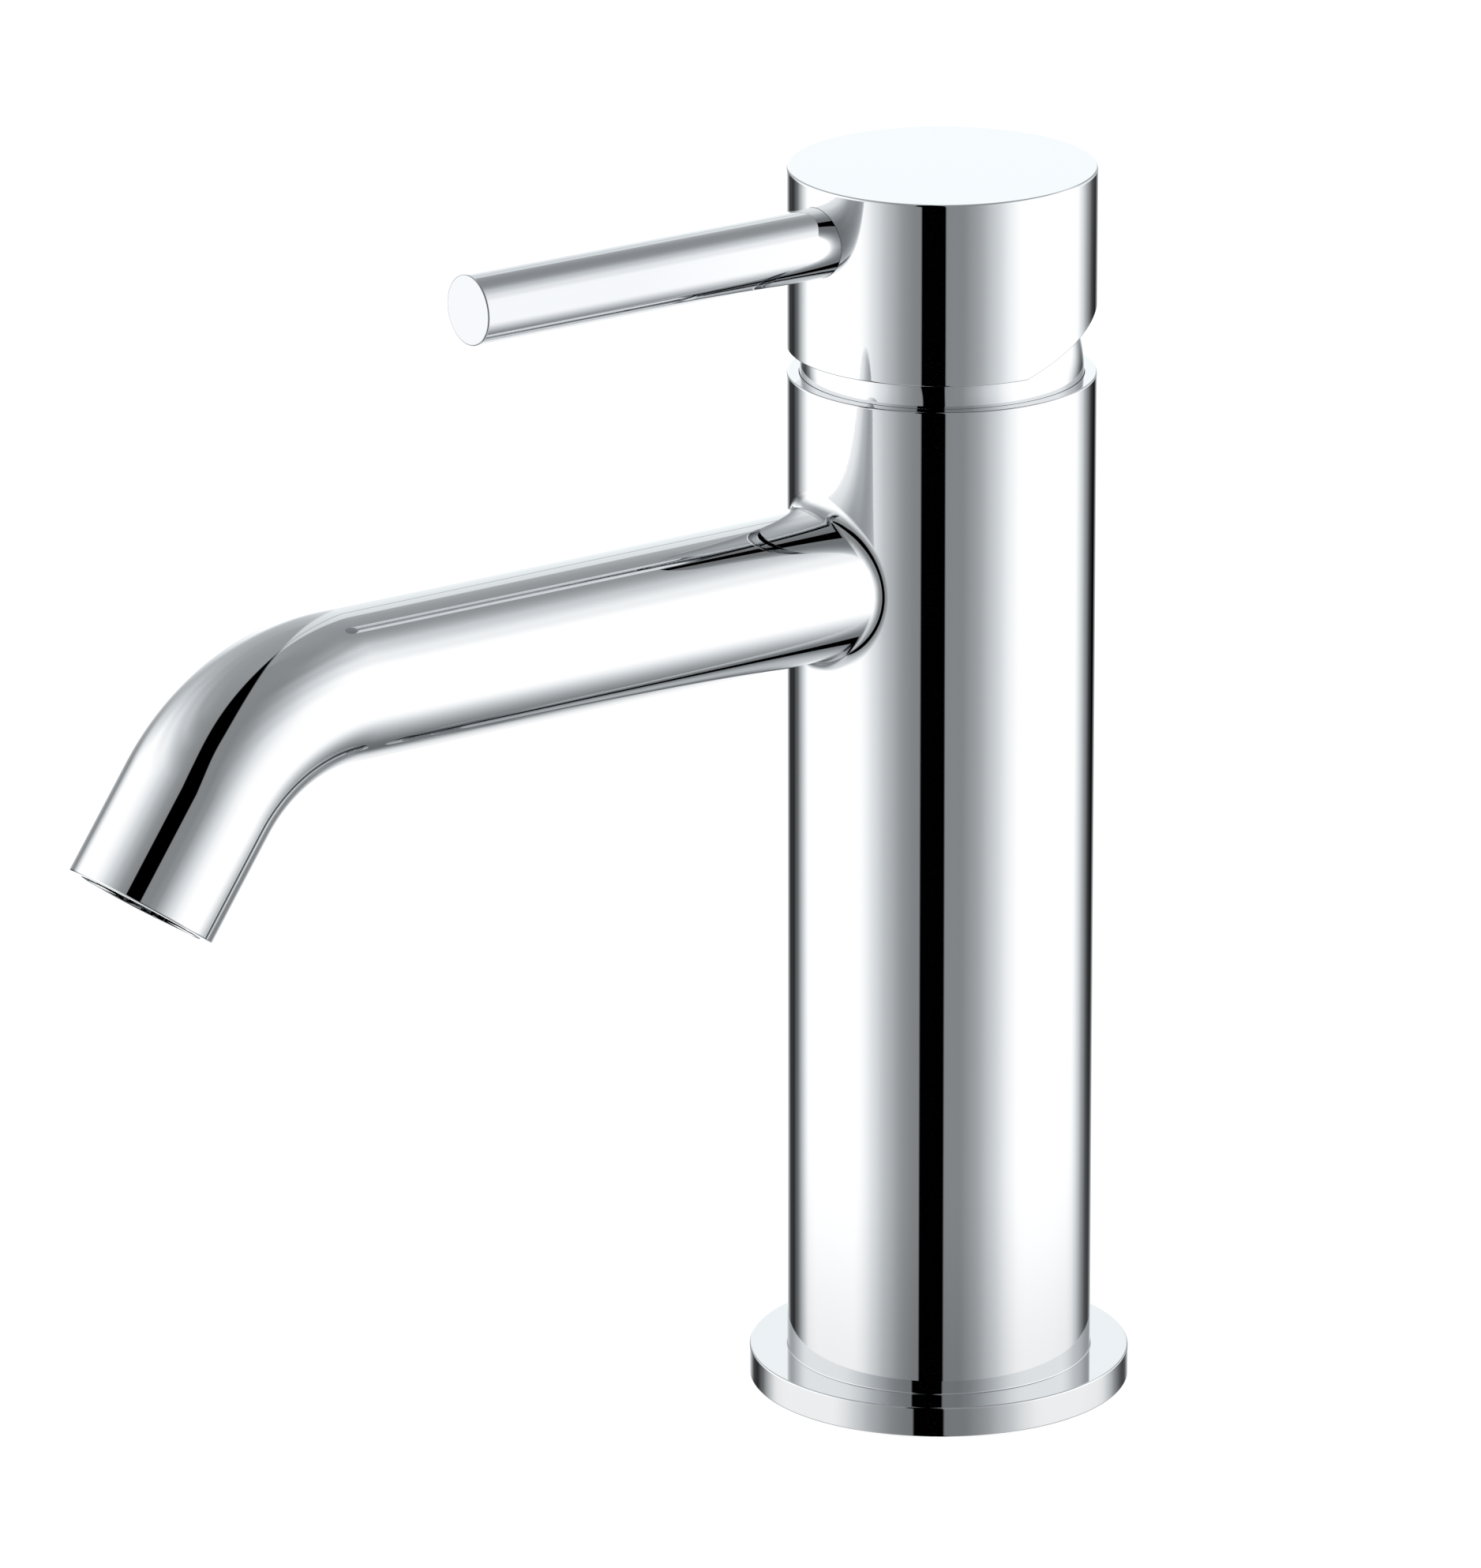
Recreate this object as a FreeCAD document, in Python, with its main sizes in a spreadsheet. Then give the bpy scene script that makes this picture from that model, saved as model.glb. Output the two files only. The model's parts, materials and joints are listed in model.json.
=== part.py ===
import FreeCAD, Part
import math
import os
import re

import Sketcher

os.makedirs("parts", exist_ok=True)

# A single-lever basin mixer.  Millimetres and degrees.  +Z is up, the origin is
# the centre of the flange's underside on the deck, and the spout and the lever
# point to -Y.  The lever tilts on the X axis through (0, 0, rim_z).

SIZES = [
    # column, flange and spout
    ("body_r", 22.0),
    ("rim_z", 151.1),
    ("flange_r", 27.5),
    ("flange_t", 4.5),
    ("flange_bore_r", 20.6),
    ("spigot_r", 20.5),
    ("spigot_z", 0.3),
    ("foot_cavity_r", 18.2),
    ("cavity_r", 19.2),
    ("cavity_step_z", 8.0),
    ("core_z", 100.0),
    ("core_r", 19.15),
    ("core_top_z", 139.5),
    ("seat_z", 133.6),
    ("chamber_r", 17.65),
    ("thread_z", 139.6),
    ("nut_bore_r", 19.0),
    ("skirt_z", 146.1),
    ("skirt_bore_r", 20.25),
    ("edge_break", 0.25),
    ("spout_r", 11.0),
    ("spout_bore_r", 8.0),
    ("spout_z", 123.6),
    ("spout_root_y", 25.0),
    ("spout_spigot_y", 19.5),
    ("spout_spigot_r", 9.5),
    ("spout_hole_r", 9.55),
    ("spout_run", 104.3),
    ("spout_bend_r", 28.0),
    ("bend_angle", 55.0),
    ("spout_tail", 16.8),
    ("spout_blend_r", 2.3),
    ("core_port_end_y", 13.5),
    # waterways in the core
    ("channel_r", 3.0),
    ("inlet_x", 7.0),
    ("inlet_y", 3.8),
    ("inlet_port_r", 2.3),
    ("inlet_bore_r", 2.8),
    ("inlet_thread_r", 4.5),
    ("inlet_thread_len", 12.0),
    ("outlet_port_y", 6.0),
    ("outlet_port_r", 3.4),
    ("stud_y", 9.5),
    ("stud_hole_r", 3.4),
    ("stud_hole_len", 12.0),
    ("dowel_x", 12.5),
    ("dowel_y", 6.0),
    ("dowel_r", 1.5),
    ("dowel_hole_r", 1.6),
    ("dowel_len", 2.0),
    # seals
    ("gasket_in_r", 22.6),
    ("gasket_out_r", 26.4),
    ("gasket_t", 2.15),
    ("gasket_gap", 0.1),
    ("flange_ring_z", 2.4),
    ("flange_ring_r", 19.98),
    ("flange_ring_wire_r", 0.6),
    ("flange_groove_r", 19.37),
    ("groove_half", 0.65),
    ("port_ring_wire_r", 0.7),
    ("inlet_ring_r", 3.3),
    ("outlet_ring_r", 4.2),
    ("port_ring_recess", 1.4),
    ("port_ring_gap", 0.05),
    ("gasket_port_gap", 0.2),
    # small gaps, and how far a cut runs past the face it opens
    ("dowel_end_gap", 0.2),
    ("nut_step_gap", 0.1),
    ("cut_over", 1.0),
    ("lug_root", 0.5),
    ("ball_throat", 0.5),
    ("spindle_ring_z", 148.75),
    ("spindle_ring_r", 9.5),
    ("spindle_ring_wire_r", 0.55),
    ("spindle_groove_r", 8.93),
    ("dome_ring_z", 148.4),
    ("dome_ring_r", 19.75),
    ("dome_ring_wire_r", 0.45),
    ("dome_groove_r", 19.28),
    ("dome_groove_half", 0.5),
    # dome and nut
    ("dome_r", 20.2),
    ("dome_in_r", 18.7),
    ("dome_top", 14.0),
    ("dome_skirt_r", 20.15),
    ("nut_r", 18.95),
    ("nut_in_r", 15.6),
    ("nut_top_r", 18.2),
    ("nut_top_z", 148.2),
    ("nut_slot_z", 146.6),
    ("nut_slot_half", 1.5),
    # cartridge, counted up from its seat
    ("housing_r", 17.5),
    ("housing_in_r", 13.8),
    ("housing_neck_r", 15.4),
    ("housing_low_z", 135.7),
    ("housing_step_z", 140.0),
    ("housing_roof_z", 147.9),
    ("housing_top_z", 149.6),
    ("housing_hole_r", 10.15),
    ("base_r", 17.4),
    ("base_top_z", 135.65),
    ("base_spigot_r", 13.75),
    ("base_spigot_z", 136.4),
    ("disc_gasket_r", 13.2),
    ("fixed_disc_z", 137.0),
    ("fixed_disc_r", 13.6),
    ("fixed_disc_t", 2.5),
    ("moving_disc_z", 139.52),
    ("moving_disc_r", 10.5),
    ("moving_disc_t", 2.18),
    ("chamber_pocket_r", 8.2),
    ("chamber_edge_y", 0.6),
    ("chamber_depth", 1.0),
    ("lug_x", 4.5),
    ("lug_y", 4.5),
    ("lug_r", 1.0),
    ("lug_len", 0.9),
    ("lug_gap", 0.05),
    ("carrier_z", 141.75),
    ("carrier_top_z", 146.0),
    ("carrier_half_x", 6.5),
    ("carrier_half_y", 7.5),
    ("ball_hole_r", 2.38),
    ("turret_r", 13.6),
    ("turret_z", 142.0),
    ("turret_roof_z", 146.3),
    ("turret_step_z", 147.7),
    ("turret_neck_r", 10.0),
    ("turret_top_z", 155.2),
    ("guide_half_x", 6.6),
    ("guide_front_y", 10.6),
    ("guide_back_y", 7.8),
    ("slot_half_x", 4.15),
    ("slot_front_y", 5.3),
    ("slot_back_y", 6.8),
    ("pin_r", 1.75),
    ("pin_seat_r", 1.76),
    ("pin_half_len", 9.3),
    ("stop_lug_half_x", 2.0),
    ("stop_lug_y", 12.0),
    ("stop_lug_z", 149.9),
    ("stop_lug_t", 1.5),
    ("limiter_z", 149.65),
    ("limiter_t", 2.0),
    ("limiter_r", 14.2),
    ("limiter_in_r", 10.2),
    ("window_r", 12.4),
    ("window_in_r", 9.0),
    ("window_half_angle", 63.5),
    # stem
    ("stem_half", 4.0),
    ("stem_low_z", 148.3),
    ("stem_top_z", 176.0),
    ("stem_pin_hole_r", 1.8),
    ("arm_r", 1.5),
    ("ball_r", 2.3),
    ("ball_z", 144.4),
    # handle
    ("cap_r", 22.0),
    ("cap_z", 154.8),
    ("cap_top_z", 181.1),
    ("cap_cavity_r", 20.6),
    ("cap_boss_r", 6.0),
    ("cap_boss_z", 170.1),
    ("cap_edge", 0.35),
    ("cap_cut_y", 1.5),
    ("cap_cut_angle", 19.5),
    ("stem_socket_half", 4.05),
    ("stem_socket_z", 177.0),
    ("lever_z", 173.3),
    ("lever_r", 5.0),
    ("lever_socket_r", 5.05),
    ("lever_root_y", 20.0),
    ("lever_end_y", 81.6),
    ("lever_edge", 0.3),
    ("lever_stud_r", 2.95),
    ("lever_stud_hole_r", 3.0),
    ("lever_stud_y", 12.2),
    ("lever_hole_y", 12.0),
    ("grub_z", 174.5),
    ("grub_r", 2.45),
    ("grub_hole_r", 2.5),
    ("grub_in_y", 4.02),
    ("grub_out_y", 16.0),
    ("grub_key_r", 1.45),
    ("grub_key_depth", 2.5),
    ("plug_r", 3.2),
    ("plug_hole_r", 3.25),
    ("plug_in_y", 19.2),
    ("plug_out_y", 21.7),
    # aerator, counted in from the outlet's end face
    ("aerator_bore_r", 9.25),
    ("aerator_bore_len", 14.0),
    ("aerator_r", 9.2),
    ("aerator_in_r", 7.6),
    ("aerator_lip_r", 6.9),
    ("aerator_low", 0.25),
    ("aerator_lip_top", 2.25),
    ("aerator_top", 12.6),
    ("key_slot_turn", 28.0),
    ("key_slot_half_angle", 11.25),
    ("key_slot_depth", 1.5),
    ("insert_r", 7.5),
    ("diffuser_low", 2.3),
    ("diffuser_t", 2.0),
    ("jet_r", 0.62),
    ("jet_pitch", 2.05),
    ("regulator_low", 5.4),
    ("regulator_t", 3.0),
    ("regulator_hole_r", 0.9),
    ("regulator_ring_r", 5.0),
    ("regulator_seal_r", 3.0),
    ("regulator_seal_wire_r", 0.75),
    ("screen_low", 10.6),
    ("screen_t", 0.8),
    ("screen_hole_r", 0.6),
    ("washer_in_r", 7.8),
    ("washer_out_r", 9.15),
    ("washer_top", 13.9),
]
NUT_SLOTS = 6
KEY_SLOTS = 8
JET_RINGS = 3
REGULATOR_HOLES = 8
ALIASES = {alias for alias, _ in SIZES}

# The outlet's end face: its centre, and the turn about X that lays local +Z
# along the spout's tail, pointing back into the spout.
OUTLET_Y = "-(spout_run + spout_bend_r * sin(bend_angle) + spout_tail * cos(bend_angle))"
OUTLET_Z = "spout_z - spout_bend_r * (1 - cos(bend_angle)) - spout_tail * sin(bend_angle)"
OUTLET_TURN = "bend_angle - 90"

doc = FreeCAD.newDocument("basin_mixer")
sheet = doc.addObject("Spreadsheet::Sheet", "sizes")
for row, (alias, value) in enumerate(SIZES, start=1):
    sheet.set(f"A{row}", alias)
    sheet.set(f"B{row}", str(value))
    sheet.setAlias(f"B{row}", alias)
doc.recompute()

nodes = []


def bound(expression):
    """Write the sheet's name in front of every alias in an expression."""
    def name(word):
        return "sizes." + word.group() if word.group() in ALIASES else word.group()
    return re.sub(r"[a-z][a-z0-9_]*", name, str(expression))


def value_of(expression):
    """Work an expression out as a plain number."""
    result = sheet.evalExpression(bound(expression))
    return float(getattr(result, "Value", result))


def bind(item, prop, expression):
    """Tie one property of an object to the sheet."""
    item.setExpression(prop, bound(expression))


def new_body(label):
    """Start a sub-part as a PartDesign body."""
    body = doc.addObject("PartDesign::Body", label)
    body.Label = label
    nodes.append(body)
    return body


def sketch_on(body, role, offset="0"):
    """Add a sketch on one of the body's origin planes, moved along its normal."""
    plane = next(item for item in body.Origin.OriginFeatures if item.Role == role)
    sketch = body.newObject("Sketcher::SketchObject", body.Label + "_sketch")
    sketch.AttachmentSupport = [(plane, "")]
    sketch.MapMode = "FlatFace"
    bind(sketch, "AttachmentOffset.Base.z", offset)
    return sketch


def pin_point(sketch, geometry, point, x, y):
    """Hold a sketch point at the distances x and y from the sketch's origin."""
    if x is not None:
        index = sketch.addConstraint(Sketcher.Constraint("DistanceX", -1, 1, geometry, point, value_of(x)))
        bind(sketch, f"Constraints[{index}]", x)
    if y is not None:
        index = sketch.addConstraint(Sketcher.Constraint("DistanceY", -1, 1, geometry, point, value_of(y)))
        bind(sketch, f"Constraints[{index}]", y)


def circle(sketch, x, y, radius):
    """Draw a circle whose centre and radius are bound to the sheet."""
    centre = FreeCAD.Vector(value_of(x), value_of(y), 0)
    index = sketch.addGeometry(Part.Circle(centre, FreeCAD.Vector(0, 0, 1), value_of(radius)), False)
    pin_point(sketch, index, 3, x, y)
    constraint = sketch.addConstraint(Sketcher.Constraint("Radius", index, value_of(radius)))
    bind(sketch, f"Constraints[{constraint}]", radius)


def outline(sketch, corners, arcs=None, closed=True):
    """Draw a run of lines and arcs through corners given as expressions.

    arcs maps the corner that an arc starts from to (centre x, centre y, turn),
    with turn +1 for anticlockwise.  The arc's far corner keeps only its height,
    because the centre and the near corner already fix its radius.
    """
    arcs = arcs or {}
    spots = [FreeCAD.Vector(value_of(x), value_of(y), 0) for x, y in corners]
    count = len(corners) if closed else len(corners) - 1
    starts = []
    for i in range(count):
        start, end = spots[i], spots[(i + 1) % len(spots)]
        if i in arcs:
            centre_x, centre_y, turn = arcs[i]
            centre = FreeCAD.Vector(value_of(centre_x), value_of(centre_y), 0)
            radius = (start - centre).Length
            whole = Part.Circle(centre, FreeCAD.Vector(0, 0, 1), radius)
            angles = [math.atan2(p.y - centre.y, p.x - centre.x) for p in (start, end)]
            ends = angles if turn > 0 else angles[::-1]
            index = sketch.addGeometry(Part.ArcOfCircle(whole, *ends), False)
            pin_point(sketch, index, 3, centre_x, centre_y)
            starts.append((index, 1, 2) if turn > 0 else (index, 2, 1))
        else:
            index = sketch.addGeometry(Part.LineSegment(start, end), False)
            starts.append((index, 1, 2))
    joins = range(len(starts)) if closed else range(len(starts) - 1)
    for i in joins:
        index, _, last = starts[i]
        next_index, first, _ = starts[(i + 1) % len(starts)]
        sketch.addConstraint(Sketcher.Constraint("Coincident", index, last, next_index, first))
    for i, (x, y) in enumerate(corners):
        after_arc = (i - 1) % len(corners) in arcs
        index, first, last = starts[i] if i < len(starts) else starts[i - 1]
        point = first if i < len(starts) else last
        pin_point(sketch, index, point, None if after_arc else x, y)


def box_corners(low_x, low_y, high_x, high_y):
    """The four corners of a rectangle, anticlockwise."""
    return [(low_x, low_y), (high_x, low_y), (high_x, high_y), (low_x, high_y)]


def shape_from(body, kind, sketch, **settings):
    """Add a feature made from a sketch, and see that it adds or cuts as it should."""
    doc.recompute()
    before = body.Shape.Volume if body.Tip else 0.0
    feature = body.newObject("PartDesign::" + kind, body.Label + "_" + kind.lower())
    feature.Profile = sketch
    for prop, setting in settings.items():
        if prop == "Length" or prop == "Length2" or prop == "Angle":
            bind(feature, prop, setting)
        else:
            setattr(feature, prop, setting)
    sketch.Visibility = False
    doc.recompute()
    change = body.Shape.Volume - before
    adds = kind in ("Pad", "Revolution", "AdditivePipe")
    if (change <= 1e-6 if adds else change >= -1e-6):
        raise RuntimeError(f"{feature.Label} changes the volume by {change:.4f}")
    return feature


def turned(label, corners, arcs=None):
    """A sub-part turned about Z from a half section given as (radius, height)."""
    body = new_body(label)
    sketch = sketch_on(body, "XZ_Plane")
    outline(sketch, corners, arcs)
    shape_from(body, "Revolution", sketch, ReferenceAxis=(sketch, ["V_Axis"]), Angle="360")
    return body


def pad_circles(body, circles, low, height, kind="Pad", upward=True):
    """Pad or pocket circles (x, y, radius) along Z, from the level low."""
    sketch = sketch_on(body, "XY_Plane", low)
    for x, y, radius in circles:
        circle(sketch, x, y, radius)
    flip = upward if kind == "Pocket" else not upward
    return shape_from(body, kind, sketch, Length=height, Reversed=flip)


def pad_outline(body, corners, low, height, kind="Pad", arcs=None, upward=True):
    """Pad or pocket an outline along Z, from the level low."""
    sketch = sketch_on(body, "XY_Plane", low)
    outline(sketch, corners, arcs)
    flip = upward if kind == "Pocket" else not upward
    return shape_from(body, kind, sketch, Length=height, Reversed=flip)


def bore_along_y(body, height, radius, start_y, length, towards=1):
    """Cut a round hole along Y from start_y, towards +1 or -1."""
    sketch = sketch_on(body, "XZ_Plane", f"-({start_y})")
    circle(sketch, "0", height, radius)
    return shape_from(body, "Pocket", sketch, Length=length, Reversed=towards < 0)


def repeat_around(body, feature, count, axis_sketch):
    """Repeat a feature evenly about the body's Z axis."""
    pattern = body.newObject("PartDesign::PolarPattern", body.Label + "_pattern")
    pattern.Originals = [feature]
    pattern.Axis = (axis_sketch, ["N_Axis"])
    pattern.Angle = 360
    pattern.Occurrences = count
    body.Tip = pattern
    doc.recompute()
    return pattern


def o_ring(label, ring_radius, wire_radius, height, x="0", y="0"):
    """A torus about Z."""
    ring = doc.addObject("Part::Torus", label)
    ring.Label = label
    bind(ring, "Radius1", ring_radius)
    bind(ring, "Radius2", wire_radius)
    bind(ring, "Placement.Base.x", x)
    bind(ring, "Placement.Base.y", y)
    bind(ring, "Placement.Base.z", height)
    return ring


def seat_in_outlet(item, depth="0"):
    """Place a piece on the tail's axis, depth mm in from the outlet's end face."""
    item.Placement = FreeCAD.Placement(
        FreeCAD.Vector(0, 0, 0), FreeCAD.Rotation(FreeCAD.Vector(1, 0, 0), value_of(OUTLET_TURN))
    )
    bind(item, "Placement.Base.y", f"{OUTLET_Y} + ({depth}) * cos(bend_angle)")
    bind(item, "Placement.Base.z", f"{OUTLET_Z} + ({depth}) * sin(bend_angle)")
    bind(item, "Placement.Rotation.Angle", OUTLET_TURN)


# ----------------------------------------------- column, spout and waterways

def spout_path(body, start_y):
    """The spout's centre line: level, one bend down, and a straight tail."""
    sketch = sketch_on(body, "YZ_Plane")
    bend_y = "-(spout_run + spout_bend_r * sin(bend_angle))"
    bend_z = "spout_z - spout_bend_r * (1 - cos(bend_angle))"
    corners = [(f"-{start_y}", "spout_z"), ("-spout_run", "spout_z"), (bend_y, bend_z), (OUTLET_Y, OUTLET_Z)]
    outline(sketch, corners, {1: ("-spout_run", "spout_z - spout_bend_r", 1)}, closed=False)
    return sketch


def spout_sweep(body, kind, start_y, radius):
    """Sweep a circle along the spout's centre line."""
    section = sketch_on(body, "XZ_Plane", start_y)
    circle(section, "0", "spout_z", radius)
    path = spout_path(body, start_y)
    doc.recompute()
    edges = [f"Edge{i + 1}" for i in range(3)]
    return shape_from(body, kind, section, Spine=(path, edges))


def mixer_body():
    """The column: a cast tube with a short blended neck for the spout."""
    body = turned("mixer_body", [
        ("0", "spigot_z"),
        ("spigot_r", "spigot_z"),
        ("spigot_r", "flange_ring_z - groove_half"),
        ("flange_groove_r", "flange_ring_z - groove_half"),
        ("flange_groove_r", "flange_ring_z + groove_half"),
        ("spigot_r", "flange_ring_z + groove_half"),
        ("spigot_r", "flange_t"),
        ("body_r", "flange_t"),
        ("body_r", "rim_z - edge_break"),
        ("body_r - edge_break", "rim_z"),
        ("0", "rim_z"),
    ])
    neck = sketch_on(body, "XZ_Plane")
    circle(neck, "0", "spout_z", "spout_r")
    shape_from(body, "Pad", neck, Length="spout_root_y", Reversed=False)
    blend_spout_root(body)
    inside = sketch_on(body, "XZ_Plane")
    outline(inside, [
        ("0", "spigot_z - cut_over"),
        ("foot_cavity_r", "spigot_z - cut_over"),
        ("foot_cavity_r", "cavity_step_z"),
        ("cavity_r", "cavity_step_z"),
        ("cavity_r", "thread_z"),
        ("nut_bore_r", "thread_z"),
        ("nut_bore_r", "skirt_z"),
        ("skirt_bore_r", "skirt_z"),
        ("skirt_bore_r", "rim_z + cut_over"),
        ("0", "rim_z + cut_over"),
    ])
    shape_from(body, "Groove", inside, ReferenceAxis=(inside, ["V_Axis"]), Angle="360")
    bore_along_y(body, "spout_z", "spout_hole_r", "-spout_root_y - cut_over", "spout_root_y + cut_over")
    return body


def spout():
    """The spout: a bent tube, brazed into the column's neck by its spigot."""
    body = new_body("spout")
    spout_sweep(body, "AdditivePipe", "spout_root_y", "spout_r")
    spigot = sketch_on(body, "XZ_Plane", "spout_root_y")
    circle(spigot, "0", "spout_z", "spout_spigot_r")
    shape_from(body, "Pad", spigot, Length="spout_root_y - spout_spigot_y", Reversed=True)
    spout_sweep(body, "SubtractivePipe", "spout_spigot_y", "spout_bore_r")
    bore_aerator_seat(body)
    return body


def waterway_core():
    """The brass core in the column: cartridge seat, two inlets, outlet and stud hole."""
    body = turned("waterway_core", [
        ("0", "core_z"),
        ("core_r", "core_z"),
        ("core_r", "core_top_z"),
        ("chamber_r", "core_top_z"),
        ("chamber_r", "seat_z"),
        ("0", "seat_z"),
    ])
    bore_along_y(body, "spout_z", "spout_bore_r", "-core_r - cut_over",
                 "core_r + cut_over - core_port_end_y")
    bore_along_y(body, "spout_z", "channel_r", "-core_port_end_y - cut_over",
                 "core_port_end_y + cut_over + outlet_port_y + channel_r")
    drop = "seat_z - spout_z"
    pad_circles(body, [("0", "outlet_port_y", "outlet_port_r")], "seat_z", drop, "Pocket", upward=False)
    inlets = [(side + "inlet_x", "-inlet_y", "inlet_bore_r") for side in ("", "-")]
    pad_circles(body, inlets, "seat_z", "seat_z - core_z", "Pocket", upward=False)
    threads = [(side + "inlet_x", "-inlet_y", "inlet_thread_r") for side in ("", "-")]
    pad_circles(body, threads, "core_z", "inlet_thread_len", "Pocket")
    pad_circles(body, [("0", "stud_y", "stud_hole_r")], "core_z", "stud_hole_len", "Pocket")
    dowels = [(side + "dowel_x", "dowel_y", "dowel_hole_r") for side in ("", "-")]
    pad_circles(body, dowels, "seat_z", "dowel_len + dowel_end_gap", "Pocket", upward=False)
    return body


def blend_spout_root(body):
    """Round the crease where the neck leaves the column."""
    doc.recompute()
    column = value_of("body_r")
    spout = value_of("spout_r")
    height = value_of("spout_z")
    names = []
    for i, edge in enumerate(body.Shape.Edges, start=1):
        spots = edge.discretize(9)
        on_column = all(abs(math.hypot(p.x, p.y) - column) < 0.01 for p in spots)
        on_neck = all(abs(math.hypot(p.x, p.z - height) - spout) < 0.01 for p in spots)
        if on_column and on_neck:
            names.append(f"Edge{i}")
    swept = body.Tip
    blend = body.newObject("PartDesign::Fillet", "spout_blend")
    blend.Base = (swept, names)
    bind(blend, "Radius", "spout_blend_r")
    doc.recompute()


def bore_aerator_seat(body):
    """Cut the aerator's threaded seat into the spout's end."""
    sketch = sketch_on(body, "XY_Plane")
    turn = FreeCAD.Rotation(FreeCAD.Vector(1, 0, 0), value_of(OUTLET_TURN))
    sketch.AttachmentOffset = FreeCAD.Placement(FreeCAD.Vector(0, 0, 0), turn)
    bind(sketch, "AttachmentOffset.Base.y", OUTLET_Y)
    bind(sketch, "AttachmentOffset.Base.z", OUTLET_Z)
    bind(sketch, "AttachmentOffset.Rotation.Angle", OUTLET_TURN)
    circle(sketch, "0", "0", "aerator_bore_r")
    shape_from(body, "Pocket", sketch, Length="aerator_bore_len", Reversed=True)


# ------------------------------------------------------------ base and seals

def base_flange():
    """The round plate under the column, with a groove for the gasket below."""
    return turned("base_flange", [
        ("flange_bore_r", "0"),
        ("gasket_in_r - gasket_gap", "0"),
        ("gasket_in_r - gasket_gap", "gasket_t"),
        ("gasket_out_r + gasket_gap", "gasket_t"),
        ("gasket_out_r + gasket_gap", "0"),
        ("flange_r - edge_break", "0"),
        ("flange_r", "edge_break"),
        ("flange_r", "flange_t - edge_break"),
        ("flange_r - edge_break", "flange_t"),
        ("flange_bore_r", "flange_t"),
    ])


def base_gasket():
    """The flat rubber ring between the flange and the deck."""
    return turned("base_gasket", box_corners("gasket_in_r", "0", "gasket_out_r", "gasket_t"))


def dome_cover():
    """The ball-shaped neck: a zone of a sphere about the lever's pivot, on a skirt."""
    top_z = "rim_z + dome_top"
    low_groove = "dome_ring_z - dome_groove_half"
    high_groove = "dome_ring_z + dome_groove_half"
    return turned("dome_cover", [
        ("dome_in_r", "skirt_z"),
        ("dome_skirt_r", "skirt_z"),
        ("dome_skirt_r", low_groove),
        ("dome_groove_r", low_groove),
        ("dome_groove_r", high_groove),
        ("dome_skirt_r", high_groove),
        ("dome_skirt_r", "rim_z"),
        ("dome_r", "rim_z"),
        ("sqrt(dome_r ^ 2 - dome_top ^ 2)", top_z),
        ("sqrt(dome_in_r ^ 2 - dome_top ^ 2)", top_z),
        ("dome_in_r", "rim_z"),
    ], {7: ("0", "rim_z", 1), 9: ("0", "rim_z", -1)})


def retaining_nut():
    """The ring nut that presses on the cartridge's shoulder."""
    body = turned("retaining_nut", [
        ("nut_in_r", "housing_step_z"),
        ("nut_r", "housing_step_z"),
        ("nut_r", "skirt_z - nut_step_gap"),
        ("nut_top_r", "skirt_z - nut_step_gap"),
        ("nut_top_r", "nut_top_z"),
        ("nut_in_r", "nut_top_z"),
    ])
    corners = box_corners("nut_in_r - cut_over", "-nut_slot_half", "nut_r + cut_over", "nut_slot_half")
    slot = pad_outline(body, corners, "nut_slot_z", "nut_top_z - nut_slot_z", "Pocket")
    repeat_around(body, slot, NUT_SLOTS, slot.Profile[0])
    return body


# ----------------------------------------------------------------- cartridge

def ports(growth):
    """The cartridge's three ports as circles, widened by growth."""
    return [
        ("inlet_x", "-inlet_y", f"inlet_port_r + {growth}"),
        ("-inlet_x", "-inlet_y", f"inlet_port_r + {growth}"),
        ("0", "outlet_port_y", f"outlet_port_r + {growth}"),
    ]


def cartridge_base():
    """The plastic foot with three ports, seal recesses and two dowels."""
    body = turned("cartridge_base", [
        ("0", "seat_z"),
        ("base_r", "seat_z"),
        ("base_r", "base_top_z"),
        ("base_spigot_r", "base_top_z"),
        ("base_spigot_r", "base_spigot_z"),
        ("0", "base_spigot_z"),
    ])
    pad_circles(body, ports(0), "seat_z", "base_spigot_z - seat_z", "Pocket")
    recesses = [
        (side + "inlet_x", "-inlet_y", "inlet_ring_r + port_ring_wire_r + port_ring_gap") for side in ("", "-")
    ]
    recesses.append(("0", "outlet_port_y", "outlet_ring_r + port_ring_wire_r + port_ring_gap"))
    pad_circles(body, recesses, "seat_z", "port_ring_recess", "Pocket")
    dowels = [(side + "dowel_x", "dowel_y", "dowel_r") for side in ("", "-")]
    pad_circles(body, dowels, "seat_z", "dowel_len", upward=False)
    return body


def port_seals():
    """Three O-rings between the cartridge base and its seat, as one group."""
    level = "seat_z + port_ring_wire_r"
    rings = [
        o_ring("left_inlet_ring", "inlet_ring_r", "port_ring_wire_r", level, "-inlet_x", "-inlet_y"),
        o_ring("right_inlet_ring", "inlet_ring_r", "port_ring_wire_r", level, "inlet_x", "-inlet_y"),
        o_ring("outlet_ring", "outlet_ring_r", "port_ring_wire_r", level, "0", "outlet_port_y"),
    ]
    group = doc.addObject("Part::Compound", "port_seals")
    group.Label = "port_seals"
    group.Links = rings
    nodes.append(group)
    return group


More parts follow.
